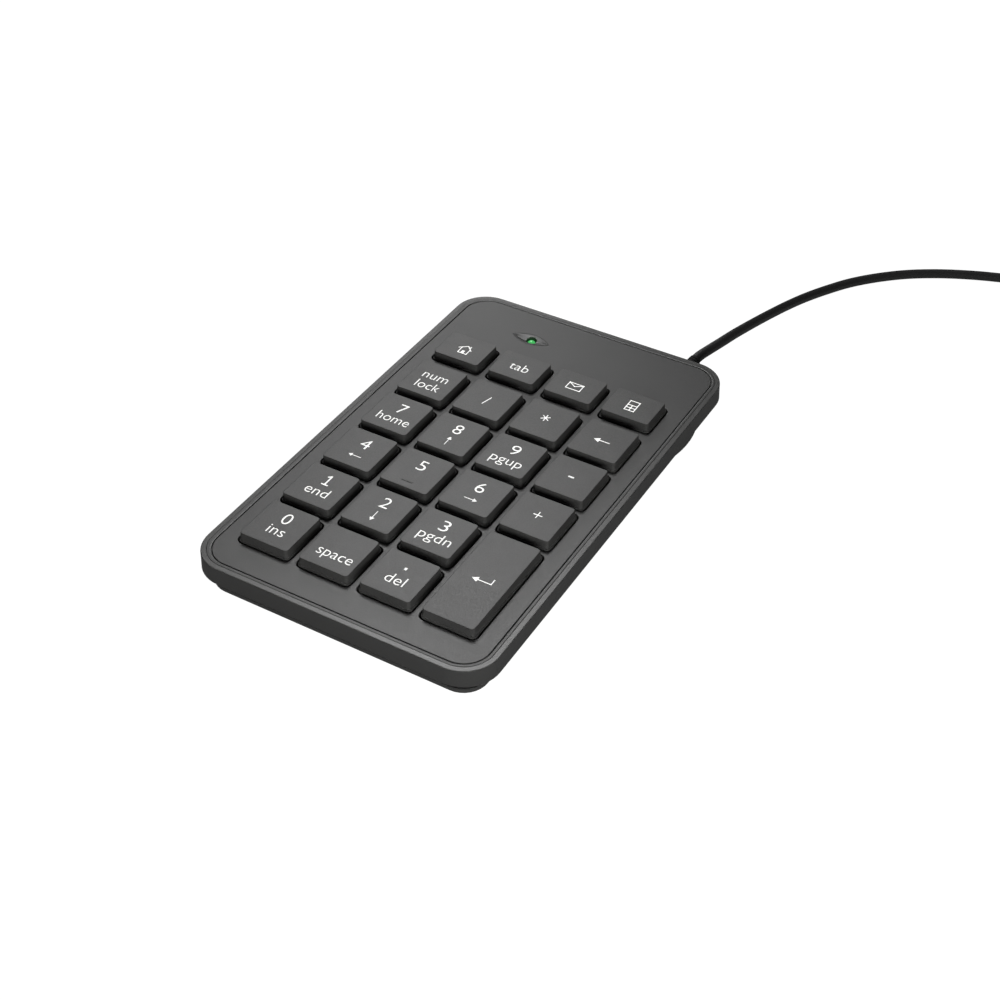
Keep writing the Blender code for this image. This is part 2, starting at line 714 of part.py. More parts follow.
def make_electronics(materials, deck):
    board = between(-BOARD_X, BOARD_X, BOARD_FRONT, BOARD_REAR, 1.0, 1)
    board_bottom = BOARD_TOP - BOARD_THICKNESS
    piece = make_solid(
        "controller_board", prism(board, board_bottom, BOARD_TOP), materials["circuit_board"], deck
    )
    screws = {"left": (-BOARD_SCREW_X, CLAMP_Y), "right": (BOARD_SCREW_X, CLAMP_Y)}
    holes = [turned(spot, [(1.1, -8.0), (1.1, -2.0)], 8) for spot in screws.values()]
    cut(piece, "screw_holes", holes)
    chip = [(4.2, board_bottom - 0.15), (3.9, board_bottom - 0.9), (2.4, board_bottom - 1.5)]
    make_solid("controller_chip", turned((3.0, CLAMP_Y), chip, 12), materials["chip_epoxy"], deck)
    bar = rounded(21.0, 2.2, 0.5, 1, (0.0, CLAMP_Y))
    clamp = make_solid(
        "membrane_clamp_bar", prism(bar, CLAMP_BOTTOM, CLAMP_TOP), materials["guide_plastic"], deck
    )
    cut(clamp, "screw_holes", holes)
    screw = [(0.3, -10.6), (0.8, -10.0), (0.8, -3.2), (1.8, -3.2), (1.8, -2.4), (1.3, -2.1)]
    for side, spot in screws.items():
        make_solid(f"board_screw_{side}", turned(spot, screw, 8), materials["steel"], deck)
    radius = LED_RADIUS
    shoulder = LED_TOP - radius
    lamp = [(radius + 0.4, BOARD_TOP + 0.15), (radius + 0.4, -4.9), (radius, -4.9), (radius, shoulder)]
    for angle in map(math.radians, (25, 50, 75)):
        lamp.append((radius * math.cos(angle), shoulder + radius * math.sin(angle)))
    make_solid("num_lock_led", turned((LED_X, LED_Y), lamp, 12), materials["led_epoxy"], deck)
    header = between(20.5, 28.5, 56.5, 60.5, 0.3, 1)
    make_solid(
        "cable_header", prism(header, BOARD_TOP + 0.15, -2.3), materials["header_plastic"], deck
    )


def make_cable_entry(materials, deck):
    """The grommet held in the rear wall, and the lead from it to the board's header."""

    def ring(half_x, half_z, corner, y):
        return upright(rounded(half_x, half_z, corner, 2, (CABLE_X, CABLE_Z)), y)

    loops = [
        ring(3.4, 1.75, 0.6, 70.4),
        ring(3.4, 1.75, 0.6, CASE_Y - CASE_WALL - 0.35),
        ring(1.9, 1.9, 1.89, CASE_Y - CASE_WALL - 0.35),
        ring(1.9, 1.9, 1.89, CASE_Y + 0.2),
        ring(2.5, 2.5, 2.49, CASE_Y + 0.2),
        ring(2.5, 2.5, 2.49, CASE_Y + 1.0),
        ring(2.0, 2.0, 1.99, GROMMET_END),
    ]
    make_solid("cable_grommet", loops, materials["rubber"], deck)
    lead = [
        (CABLE_X, 70.1, CABLE_Z),
        (CABLE_X, 67.5, CABLE_Z),
        (30.0, 65.3, CABLE_Z),
        (27.6, 63.8, CABLE_Z),
        (25.4, 63.2, CABLE_Z),
        (24.5, 62.3, CABLE_Z),
        (24.5, 60.8, CABLE_Z),
    ]
    make_tube("cable_inner_lead", lead, 1.2, 2, materials["cable_jacket"], deck)


# ---------------------------------------------------------------- cable outside the case


def make_cable(materials):
    spacing = 5 * CABLE_RADIUS
    start = Vector(CABLE_ROUTE[0])
    out = Vector((0.0, math.cos(DECK_TILT), math.sin(DECK_TILT)))
    route = [start + FACE_GAP * out, *CABLE_ROUTE[1:]]
    jacket = materials["cable_jacket"]
    make_tube("cable", smooth_route(route, spacing), CABLE_RADIUS, 2, jacket)
    make_tube("cable_tail", smooth_route(TAIL_ROUTE, spacing), CABLE_RADIUS, 2, jacket)


def coil_radii():
    reach = COIL_COLUMNS * CABLE_RADIUS
    return COIL_MEAN_RADIUS - reach, COIL_MEAN_RADIUS + reach


def make_coil(materials):
    """The coil's outer shape, as a turned ring."""
    inner, outer = coil_radii()
    top = COIL_BOTTOM + COIL_HEIGHT
    mid = COIL_BOTTOM + COIL_HEIGHT / 2
    section = [
        (inner, mid),
        (inner + 1.2, COIL_BOTTOM),
        (outer - 1.2, COIL_BOTTOM),
        (outer, mid),
        (outer - 1.2, top),
        (inner + 1.2, top),
    ]
    sides = 36
    mesh = bmesh.new()
    rings = []
    for n in range(sides):
        turn = 2 * math.pi * n / sides
        ring = []
        for radius, z in section:
            x = COIL_CENTRE[0] + radius * math.cos(turn)
            y = COIL_CENTRE[1] + radius * math.sin(turn)
            ring.append(mesh.verts.new((x * MM, y * MM, z * MM)))
        rings.append(ring)
    for n, ring in enumerate(rings):
        following = rings[(n + 1) % sides]
        for k in range(len(section)):
            after = (k + 1) % len(section)
            mesh.faces.new((ring[k], ring[after], following[after], following[k]))
    bmesh.ops.recalc_face_normals(mesh, faces=mesh.faces)
    data = bpy.data.meshes.new("cable_coil")
    mesh.to_mesh(data)
    mesh.free()
    add_object("cable_coil", data, materials["cable_jacket"])


def make_tie(materials):
    """A flat twist tie round the coil's section, on the side nearer the keypad."""
    inner, outer = coil_radii()
    x = COIL_CENTRE[0] - COIL_MEAN_RADIUS
    z = COIL_BOTTOM + COIL_HEIGHT / 2
    half_x = (outer - inner) / 2 + TIE_GAP
    half_z = COIL_HEIGHT / 2 + TIE_GAP
    low_y = COIL_CENTRE[1] - TIE_HALF_WIDTH
    high_y = COIL_CENTRE[1] + TIE_HALF_WIDTH

    def band(grow, reach):
        outline = rounded(half_x + grow, half_z + grow, 1.0 + grow, 2, (x, z))
        return [upright(outline, low_y - reach), upright(outline, high_y + reach)]

    piece = make_solid("cable_tie", band(TIE_THICKNESS, 0.0), materials["tie_plastic"])
    cut(piece, "opening", [band(0.0, 1.0)])
    knot_z = z + half_z + TIE_THICKNESS + 0.6
    knot = rounded(0.8, 0.9, 0.3, 1, (x, knot_z))
    add(piece, "knot", [[upright(knot, low_y - 3.0), upright(knot, low_y + 2.6)]])


def make_plug(materials):
    """Overmould, metal shell and insulating tongue of a flat USB plug that lies on the table."""

    def ring(half_x, half_z, corner, y, rise=0.0):
        return upright(rounded(half_x, half_z, corner, 2, (PLUG_X, PLUG_Z + rise)), y)

    overmould = [
        ring(2.2, 2.2, 2.19, 146.0),
        ring(3.1, 3.1, 2.6, 139.0),
        ring(7.5, 3.6, 1.5, 137.0),
        ring(8.0, 4.0, 1.6, 136.0),
        ring(8.0, 4.0, 1.6, 117.0),
        ring(7.4, 3.5, 1.4, OVERMOULD_FRONT),
    ]
    piece = make_solid("usb_overmould", overmould, materials["plug_plastic"])
    pocket_floor = OVERMOULD_FRONT + POCKET_DEPTH
    pocket = [ring(6.3, 2.55, 0.5, pocket_floor), ring(6.3, 2.55, 0.5, OVERMOULD_FRONT - 1.0)]
    cut(piece, "shell_pocket", [pocket])
    shell = [
        ring(6.0, 2.25, 0.4, SHELL_BACK),
        ring(6.0, 2.25, 0.4, SHELL_FRONT),
        ring(5.7, 1.95, 0.2, SHELL_FRONT),
        ring(5.7, 1.95, 0.2, SHELL_BACK - 0.5),
    ]
    make_solid("usb_shell", shell, materials["steel"])
    tongue = [
        ring(5.4, 0.8, 0.1, SHELL_BACK - 0.8, 0.85),
        ring(5.4, 0.8, 0.1, SHELL_FRONT + 1.0, 0.85),
        ring(5.2, 0.6, 0.1, SHELL_FRONT + 0.6, 0.85),
    ]
    make_solid("usb_tongue", tongue, materials["tongue_plastic"])


# ---------------------------------------------------------------- assembly


def clear_scene():
    for item in list(bpy.data.objects):
        bpy.data.objects.remove(item)


def make_deck_frame():
    """The empty that tilts the keypad, lifts its feet to Z = 0 and centres its outline on Y = 0."""
    deck = bpy.data.objects.new("deck_frame", None)
    bpy.context.scene.collection.objects.link(deck)
    sine = math.sin(DECK_TILT)
    cosine = math.cos(DECK_TILT)
    lift = -(FRONT_FOOT_Y * sine + REST_AT_FRONT_FOOT * cosine)
    deck.rotation_euler = (DECK_TILT, 0.0, 0.0)
    deck.location = (0.0, WALL_BOTTOM * sine * MM, lift * MM)
    return deck


def main():
    clear_scene()
    materials = make_materials()
    deck = make_deck_frame()
    make_keys(materials, deck)
    make_top_cover(materials, deck)
    make_bottom_cover(materials, deck)
    make_case_screws(materials, deck)
    make_feet(materials, deck)
    make_guide_frame(materials, deck)
    make_dome_sheet(materials, deck)
    make_membranes(materials, deck)
    make_stabiliser_wire(materials, deck)
    make_electronics(materials, deck)
    make_cable_entry(materials, deck)
    make_cable(materials)
    make_coil(materials)
    make_tie(materials)
    make_plug(materials)


main()
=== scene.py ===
"""The numeric keypad's looks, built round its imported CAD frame.

Pieces of the keypad itself are drawn in deck millimetres: X to the right, Y towards the cable end and Z
out of the key deck, with zero in the middle of the deck's surface. DECK turns them into world metres.
The cable and what is on it are drawn in world millimetres.
"""

import json
import math

import bmesh
import bpy
from mathutils import Euler, Matrix, Vector


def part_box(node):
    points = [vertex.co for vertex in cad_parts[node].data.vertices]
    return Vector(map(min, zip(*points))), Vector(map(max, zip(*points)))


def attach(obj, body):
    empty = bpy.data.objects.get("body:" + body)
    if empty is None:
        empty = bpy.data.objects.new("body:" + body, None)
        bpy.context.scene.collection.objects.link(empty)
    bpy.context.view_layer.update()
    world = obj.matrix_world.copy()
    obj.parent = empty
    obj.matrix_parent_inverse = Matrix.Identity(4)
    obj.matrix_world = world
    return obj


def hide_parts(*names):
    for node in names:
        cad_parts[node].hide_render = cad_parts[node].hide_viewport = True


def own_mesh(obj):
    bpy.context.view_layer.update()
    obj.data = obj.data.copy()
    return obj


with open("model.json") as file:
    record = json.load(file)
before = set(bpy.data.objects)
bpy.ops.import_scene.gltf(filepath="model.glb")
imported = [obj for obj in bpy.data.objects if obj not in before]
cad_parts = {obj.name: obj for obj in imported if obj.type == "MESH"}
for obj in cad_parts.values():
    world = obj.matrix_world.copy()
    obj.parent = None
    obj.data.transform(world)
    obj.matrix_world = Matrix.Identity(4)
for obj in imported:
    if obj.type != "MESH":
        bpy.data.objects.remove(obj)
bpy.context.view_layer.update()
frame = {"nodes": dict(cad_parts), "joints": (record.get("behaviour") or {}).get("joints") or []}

MM = 0.001
WORLD = Matrix.Diagonal((MM, MM, MM, 1.0))
WHITE = (1.0, 1.0, 1.0, 1.0)
SHARP_ANGLE = math.radians(40)

# Camera
CAMERA_PLACE = (187.384, -324.055, 285.464)
CAMERA_TURN = (52.3301, -1.7283, 30.3012)
CAMERA_LENS = 59.05

# Ground and backdrop
GROUND_HALF = 4000.0
GROUND_CORNER = 2000.0
BACKDROP_HEIGHT = 3000.0

# Keycaps
KEY_EDGE = 0.2
KEY_CORNER = 0.9
KEY_WALL = 1.1
SKIRT_FLARE = 0.45
STEM = 2.1
COLLAR = 2.9
COLLAR_TOP = -1.5
COLLAR_BOTTOM = -2.0
HOOK_BOTTOM = -1.6
HOOK_Y = 11.8
BAR_SHIFT = 5.35
BAR_HALF_LENGTH = 1.8
BAR_HALF_WIDTH = 0.26
INK = 0.03

# Case
CASE_CORNER = 10.5
PLATE_INSET = 2.88
GROOVE = 0.15
GROOVE_SHIFT_X = 0.25
RIM_BAND = 1.8
RIM_BOTTOM = -0.25
APERTURE = 0.95
APERTURE_CORNER = 1.9
DECK_EDGE = 0.22
DECK_THICKNESS = 1.5
EYE_CENTRE = (-15.7, 59.0)
EYE_HALF_LENGTH = 5.6
EYE_HALF_WIDTH = 2.3
EYE_DEPTH = 0.5
SCOOP_RINGS = 14
RIB_X = 37.9
FLANGE_BOTTOM = -5.2
FLANGE_TOP = -3.7
BELLY_LEFT = -39.6
BELLY_RIGHT = 43.8
BELLY_FRONT = -74.3
BELLY_REAR = 70.6
BELLY_BOTTOM = -7.2
BELLY_CORNER = 7.0
BELLY_EDGE = 0.3
FLOOR = 1.5
RISER_X = 42.6
RISER_BULGE = 2.3
RISER_Y = 51.4
RISER_HALF_DEPTH = 12.6
RISER_EDGE = 0.8
FOOT_EDGE = 0.35
HEAD_RADIUS = 1.85
THREAD_OUTER = 0.95
THREAD_INNER = 0.72
THREAD_PITCH = 0.45
SCREW_PLACES = ("front_left", "front_right", "rear_left", "rear_right")

# Cable, in world millimetres
CABLE_RADIUS = 1.6
CABLE_ROUTE = (
    (31.0, 79.3, 12.3),
    (31.3, 83.0, 12.2),
    (32.3, 88.5, 12.0),
    (33.3, 94.5, 11.6),
    (34.1, 101.5, 10.8),
    (35.0, 109.5, 9.6),
    (36.0, 118.5, 8.1),
    (37.1, 128.0, 6.4),
    (38.6, 138.5, 4.6),
    (40.9, 149.3, 3.0),
    (44.4, 159.4, 2.0),
    (49.5, 169.2, 1.7),
    (56.4, 178.3, 1.6),
    (64.5, 186.3, 1.6),
    (73.9, 193.0, 1.6),
    (83.8, 198.3, 1.6),
    (92.7, 202.0, 1.6),
    (101.5, 204.9, 1.7),
    (110.5, 206.7, 2.5),
    (120.8, 207.6, 4.0),
)
TAIL_ROUTE = (
    (160.0, 167.6, 2.2),
    (160.1, 161.0, 1.9),
    (160.0, 155.5, 2.3),
    (160.2, 150.5, 3.4),
    (160.2, 146.3, 4.0),
)
COIL_CENTRE = (133.6, 180.4)
COIL_OUTER_RADIUS = 24.6
COIL_INNER_RADIUS = 13.4
COIL_LOW = 2.2
COIL_HIGH = 5.4
TOP_TURNS = 3.0
DROP_TURNS = 1.25
LOW_TURNS = 4.0
KNOTS_PER_TURN = 16


# ---- frame


def find_deck():
    """The matrix from deck millimetres to world metres, read from a key's slide and the top cover."""
    slide = next(joint for joint in frame["joints"] if joint["name"] == "key_5_press")
    up = Vector(slide["axis"]).normalized()
    right = Vector((1.0, 0.0, 0.0))
    along = up.cross(right)
    corners = [vertex.co for vertex in frame["nodes"]["top_cover"].data.vertices]

    def span(axis):
        places = [corner.dot(axis) for corner in corners]
        return min(places), max(places)

    origin = right * sum(span(right)) / 2 + along * sum(span(along)) / 2 + up * span(up)[1]
    columns = [right * MM, along * MM, up * MM, origin]
    rows = [[column[n] for column in columns] for n in range(3)]
    return Matrix([*rows, [0.0, 0.0, 0.0, 1.0]])


DECK = find_deck()


def deck_box(node):
    """A CAD node's lowest and highest corners, in deck millimetres."""
    inverse = DECK.inverted()
    points = [inverse @ vertex.co for vertex in frame["nodes"][node].data.vertices]
    low = Vector([min(point[n] for point in points) for n in range(3)])
    high = Vector([max(point[n] for point in points) for n in range(3)])
    return low, high


def node_middle(node):
    low, high = deck_box(node)
    return (low.x + high.x) / 2, (low.y + high.y) / 2


def world_box(node):
    """A CAD node's lowest and highest corners, middle and half size, in world millimetres."""
    low, high = [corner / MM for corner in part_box(node)]
    return low, high, (low + high) / 2, (high - low) / 2


CASE_HIGH = deck_box("top_cover")[1]
KEY_TOP = deck_box("key_0")[1].z
SKIRT_BOTTOM = -1.3
KEY_NODES = sorted(name for name in frame["nodes"] if name.startswith("key_") and name != "key_guide_frame")


# ---- materials


def start_material(name):
    material = bpy.data.materials.new(name)
    material.use_nodes = True
    return material, material.node_tree, material.node_tree.nodes["Principled BSDF"]


def set_values(node, values):
    for socket, value in values.items():
        node.inputs[socket].default_value = value


def add_node(tree, kind, values):
    node = tree.nodes.new(kind)
    set_values(node, values)
    return node


def coordinates(tree):
    return tree.nodes.new("ShaderNodeTexCoord").outputs["Object"]


def noise(tree, size_mm, detail=2.0, roughness=0.5):
    """A noise whose lumps are about size_mm across."""
    values = {"Scale": 1.0 / (size_mm * MM), "Detail": detail, "Roughness": roughness}
    node = add_node(tree, "ShaderNodeTexNoise", values)
    tree.links.new(coordinates(tree), node.inputs["Vector"])
    return node.outputs["Fac"]


def remap(tree, value, low, high, from_low=0.3, from_high=0.7):
    values = {"From Min": from_low, "From Max": from_high, "To Min": low, "To Max": high}
    node = add_node(tree, "ShaderNodeMapRange", values)
    tree.links.new(value, node.inputs["Value"])
    return node.outputs["Result"]


def blend_colours(tree, factor, dark, light):
    node = tree.nodes.new("ShaderNodeMix")
    node.data_type = "RGBA"
    set_values(node, {"A": (*dark, 1.0), "B": (*light, 1.0)})
    tree.links.new(factor, node.inputs["Factor"])
    return node.outputs["Result"]


def tint(tree, shader, factor, first, second):
    tree.links.new(blend_colours(tree, factor, first, second), shader.inputs["Base Color"])


def add_bump(tree, shader, height, depth_mm):
    node = add_node(tree, "ShaderNodeBump", {"Strength": 1.0, "Distance": depth_mm * MM})
    tree.links.new(height, node.inputs["Height"])
    tree.links.new(node.outputs["Normal"], shader.inputs["Normal"])


def scaled(colour, factor):
    return tuple(min(1.0, part * factor) for part in colour)


def plastic(name, colour, roughness, grain=0.45, depth=0.012, variation=0.1, specular=0.5):
    """Moulded plastic with a spark-eroded grain: fine lumps in height, colour and roughness."""
    material, tree, shader = start_material(name)
    fine = noise(tree, grain, detail=3.0, roughness=0.6)
    broad = noise(tree, grain * 14, detail=2.0)
    mixed = tree.nodes.new("ShaderNodeMath")
    mixed.operation = "MULTIPLY_ADD"
    mixed.inputs[1].default_value = 0.75
    tree.links.new(fine, mixed.inputs[0])
    tree.links.new(remap(tree, broad, 0.0, 0.25, 0.0, 1.0), mixed.inputs[2])
    tone = remap(tree, mixed.outputs["Value"], 0.0, 1.0)
    dark = scaled(colour, 1.0 - variation)
    light = scaled(colour, 1.0 + variation)
    tint(tree, shader, tone, dark, light)
    tree.links.new(remap(tree, fine, roughness - 0.05, roughness + 0.05), shader.inputs["Roughness"])
    shader.inputs["Specular IOR Level"].default_value = specular
    add_bump(tree, shader, fine, depth)
    return material


def ink():
    """Pad-printed white ink, slightly uneven, with a painted glow: it emits light so that it looks brightly
    lit.
    """
    material, tree, shader = start_material("legend_ink")
    patch = noise(tree, 0.5)
    tone = remap(tree, patch, 0.0, 1.0)
    tint(tree, shader, tone, (0.8, 0.8, 0.78), (0.95, 0.95, 0.93))
    # The emission is a painted glow that brightens the ink as if lit; the ink is no lamp.
    values = {"Roughness": 0.5, "Emission Color": (1.0, 1.0, 0.98, 1.0), "Emission Strength": 0.62}
    set_values(shader, values)
    add_bump(tree, shader, patch, 0.004)
    return material


def metal(name, colour, roughness, scratch=0.25):
    """Plated steel with fine drawing marks along Y."""
    material, tree, shader = start_material(name)
    stretch = add_node(tree, "ShaderNodeMapping", {"Scale": (1.0, 0.05, 1.0)})
    tree.links.new(coordinates(tree), stretch.inputs["Vector"])
    marks = add_node(tree, "ShaderNodeTexNoise", {"Scale": 1.0 / (scratch * MM), "Detail": 4.0})
    tree.links.new(stretch.outputs["Vector"], marks.inputs["Vector"])
    value = marks.outputs["Fac"]
    tone = remap(tree, value, 0.0, 1.0)
    tint(tree, shader, tone, scaled(colour, 0.85), scaled(colour, 1.1))
    tree.links.new(remap(tree, value, roughness - 0.07, roughness + 0.1), shader.inputs["Roughness"])
    shader.inputs["Metallic"].default_value = 1.0
    add_bump(tree, shader, value, 0.004)
    return material


def lens():
    """The lit green lamp: brightest in its middle and darker towards its rim, where its colour is darkened as
    the surface turns away from the view, a painted shade.
    """
    material, tree, shader = start_material("led_lens")
    facing = add_node(tree, "ShaderNodeLayerWeight", {"Blend": 0.35})
    # Painted shade: the lens colour darkens where its surface turns away from the view.
    rim = remap(tree, facing.outputs["Facing"], 0.0, 1.0, 0.1, 0.7)
    tint(tree, shader, rim, (0.1, 0.62, 0.16), (0.01, 0.1, 0.02))
    cloud = noise(tree, 0.6)
    glow = blend_colours(tree, remap(tree, cloud, 0.0, 1.0), (0.05, 0.7, 0.14), (0.2, 0.95, 0.3))
    tree.links.new(glow, shader.inputs["Emission Color"])
    set_values(shader, {"Emission Strength": 0.45, "Roughness": 0.12})
    return material


def board_green():
    """Solder mask over copper tracks."""
    material, tree, shader = start_material("circuit_board")
    tracks = add_node(tree, "ShaderNodeTexWave", {"Scale": 120.0, "Distortion": 3.0})
    tree.links.new(coordinates(tree), tracks.inputs["Vector"])
    tone = remap(tree, tracks.outputs["Fac"], 0.0, 1.0, 0.6, 0.65)
    tint(tree, shader, tone, (0.01, 0.09, 0.03), (0.03, 0.2, 0.07))
    shader.inputs["Roughness"].default_value = 0.35
    add_bump(tree, shader, tracks.outputs["Fac"], 0.02)
    return material


def make_materials():
    return {
        "key": plastic("key_plastic", (0.052, 0.052, 0.0505), 0.44, depth=0.028, variation=0.35),
        "case": plastic("case_plastic", (0.04, 0.04, 0.039), 0.42),
        # A lighter copy of the case plastic for the rim band: a painted sheen where the rim catches the
        # light.
        "rim": plastic("rim_plastic_painted_sheen", (0.068, 0.068, 0.066), 0.36, depth=0.008),
        "base": plastic("base_plastic", (0.04, 0.04, 0.039), 0.5),
        "ink": ink(),
        "guide": plastic("guide_plastic", (0.03, 0.03, 0.03), 0.55, grain=0.8),
        "silicone": plastic("silicone", (0.5, 0.5, 0.52), 0.55, grain=0.7, variation=0.05),
        "film": plastic("membrane_film", (0.6, 0.64, 0.6), 0.25, grain=2.0, depth=0.01, variation=0.05),
        "board": board_green(),
        "chip": plastic("chip_epoxy", (0.012, 0.012, 0.012), 0.3, grain=1.2),
        "lens": lens(),
        "header": plastic("header_plastic", (0.75, 0.72, 0.62), 0.5, grain=0.6, variation=0.04),
        "steel": metal("steel", (0.6, 0.6, 0.62), 0.28),
        "gold": metal("gold_contacts", (0.83, 0.62, 0.25), 0.22),
        "rubber": plastic("rubber", (0.018, 0.018, 0.018), 0.8, grain=0.5, depth=0.02, specular=0.35),
        "jacket": plastic("cable_jacket", (0.022, 0.022, 0.022), 0.42, 0.35, 0.006, 0.15),
        "plug": plastic("plug_plastic", (0.025, 0.025, 0.025), 0.45, grain=0.4),
        "tie": plastic("tie_plastic", (0.012, 0.012, 0.012), 0.35, grain=0.6),
        "tongue": plastic("tongue_plastic", (0.75, 0.75, 0.73), 0.45, grain=0.5, variation=0.04),
    }


MATERIALS = make_materials()


# ---- outlines, in millimetres


def rounded(half_x, half_y, corner, steps=5, centre=(0.0, 0.0)):
    """A rectangle with round corners, counter-clockwise."""
    points = []
    for side_x, side_y, start in ((1, -1, -90), (1, 1, 0), (-1, 1, 90), (-1, -1, 180)):
        for step in range(steps + 1):
            angle = math.radians(start + 90 * step / steps)
            x = side_x * (half_x - corner) + corner * math.cos(angle)
            y = side_y * (half_y - corner) + corner * math.sin(angle)
            points.append((centre[0] + x, centre[1] + y))
    return points


def circle(radius, sides, centre=(0.0, 0.0)):
    turns = [2 * math.pi * n / sides for n in range(sides)]
    return [(centre[0] + radius * math.cos(t), centre[1] + radius * math.sin(t)) for t in turns]


def level(outline, z):
    return [(x, y, z) for x, y in outline]


def upright(outline, y):
    """An outline in X and Z, standing at one Y."""
    return [(x, y, z) for x, z in outline]


def turned(centre, profile, sides=24):
    """Loops of a piece turned about an upright axis, from (radius, z) pairs."""
    return [level(circle(radius, sides, centre), z) for radius, z in profile]


def between(low_x, high_x, low_y, high_y, corner, steps=8):
    centre = ((low_x + high_x) / 2, (low_y + high_y) / 2)
    return rounded((high_x - low_x) / 2, (high_y - low_y) / 2, corner, steps, centre)


def quarter(radius, steps=4):
    """(inset, drop) pairs round a quarter of a circle, from flat to steep."""
    turns = [math.pi / 2 * step / steps for step in range(steps + 1)]
    return [(radius - radius * math.sin(t), radius - radius * math.cos(t)) for t in turns]


# ---- meshes


def add_loft(mesh, loops, capped=True, join_ends=False):
    """Joins loops of equal length into one skin."""
    rings = [[mesh.verts.new(point) for point in loop] for loop in loops]
    count = len(rings[0])
    pairs = list(zip(rings, rings[1:]))
    if join_ends:
        pairs.append((rings[-1], rings[0]))
    for lower, upper in pairs:
        for n in range(count):
            after = (n + 1) % count
            mesh.faces.new((lower[n], lower[after], upper[after], upper[n]))
    if capped and not join_ends:
        mesh.faces.new(rings[0])
        mesh.faces.new(rings[-1])


def slab(outline, bottom, top):
    return [level(outline, bottom), level(outline, top)]


def link_object(name, data):
    made = bpy.data.objects.new(name, data)
    bpy.context.scene.collection.objects.link(made)
    return made


def shade(piece, even_shading=True):
    """Smooth shading up to sharp edges and, unless told otherwise, even shading on the flats."""
    piece.data.shade_smooth()
    piece.data.set_sharp_from_angle(angle=SHARP_ANGLE)
    if even_shading:
        even = piece.modifiers.new("even_shading", "WEIGHTED_NORMAL")
        even.keep_sharp = True


def finish_mesh(name, mesh, material, place=DECK, even_shading=True):
    """Turns a bmesh in millimetres into an object in world metres."""
    bmesh.ops.recalc_face_normals(mesh, faces=mesh.faces)
    mesh.transform(place)
    data = bpy.data.meshes.new(name)
    mesh.to_mesh(data)
    mesh.free()
    data.materials.append(material)
    piece = link_object(name, data)
    shade(piece, even_shading)
    return piece


def make_loft(name, loops, material, place=DECK, even_shading=True, join_ends=False):
    mesh = bmesh.new()
    add_loft(mesh, loops, join_ends=join_ends)
    return finish_mesh(name, mesh, material, place, even_shading)


def carve(name, loops, material, steps, place=DECK, join_ends=False):
    """A solid from loops, then each step's bodies added to it or cut from it."""
    piece = make_loft(name, loops, material, place, False, join_ends)
    tools = []
    for number, (operation, bodies) in enumerate(steps):
        mesh = bmesh.new()
        for body in bodies:
            add_loft(mesh, body)
        tool = finish_mesh(f"{name}.tool{number}", mesh, material, place, even_shading=False)
        tools.append(tool)
        modifier = piece.modifiers.new(f"step{number}", "BOOLEAN")
        modifier.operation = operation
        modifier.solver = "EXACT"
        modifier.object = tool
    graph = bpy.context.evaluated_depsgraph_get()
    piece.data = bpy.data.meshes.new_from_object(piece.evaluated_get(graph))
    piece.modifiers.clear()
    shade(piece)
    for tool in tools:
        bpy.data.objects.remove(tool)
    return piece


def stand_for(piece, body, slot, *nodes):
    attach(piece, body)
    if nodes:
        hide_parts(*nodes)
    return piece


def mesh_of_curve(data):
    """The mesh that a curve or a text evaluates to, as a bmesh."""
    holder = link_object("outline", data)
    graph = bpy.context.evaluated_depsgraph_get()
    made = bpy.data.meshes.new_from_object(holder.evaluated_get(graph))
    mesh = bmesh.new()
    mesh.from_mesh(made)
    bpy.data.objects.remove(holder)
    bpy.data.meshes.remove(made)
    return mesh


# ---- camera, floor and lights


def make_camera():
    data = bpy.data.cameras.new("camera")
    data.lens = CAMERA_LENS
    data.sensor_width = 36.0
    data.clip_start = 0.01
    camera = link_object("camera", data)
    camera.location = [value * MM for value in CAMERA_PLACE]
    camera.rotation_euler = Euler([math.radians(angle) for angle in CAMERA_TURN])
    bpy.context.scene.camera = camera


def make_floor():
    """A white ground with a backdrop, and an unseen, dimmer sheet that lights the walls from below."""
    for name, height, glow, seen in (("ground", 0.0, 1.0, True), ("ground_bounce", -0.5, BOUNCE, False)):
        mesh = bmesh.new()
        outline = rounded(GROUND_HALF, GROUND_HALF, GROUND_CORNER)
        mesh.faces.new([mesh.verts.new(point) for point in level(outline, height)])
        if seen:
            add_loft(mesh, slab(outline, height, BACKDROP_HEIGHT), capped=False)
        material, _, shader = start_material(name)
        set_values(
            shader,
            {
                "Base Color": (0.1, 0.1, 0.1, 1.0),
                "Roughness": 1.0,
                "Specular IOR Level": 0.0,
                "Emission Color": WHITE,
                "Emission Strength": glow,
            },
        )
        sheet = finish_mesh(name, mesh, material, WORLD, even_shading=False)
        sheet.visible_camera = seen
        sheet.visible_diffuse = not seen
        sheet.visible_glossy = not seen
        sheet.visible_shadow = False


# Softboxes, which all face the keypad: azimuth from +X, elevation and distance, in degrees and
# millimetres, then width and height, strength in watts, and whether gloss shows them. The two low
# ones only fill: their mirror images would dazzle in a low view from the other side.
SOFTBOXES = {
    "softbox_low_front": ((-66, 10, 900), (350, 150), 2.8, False),
    "softbox_low_right": ((-46, 16, 335), (100, 60), 0.42, False),
    "softbox_sheen": ((-45, 15, 820), (350, 350), 0.2, True),
    "softbox_right": ((-10, 35, 900), (350, 350), 0.15, True),
    "softbox_rear_high": ((124, 55, 900), (240, 240), 2.0, True),
    "softbox_rear_left": ((136, 55, 900), (240, 240), 1.0, True),
    "softbox_rear": ((124, 25, 900), (240, 240), 0.66, True),
}
WORLD_STRENGTH = 0.01
BOUNCE = 0.13


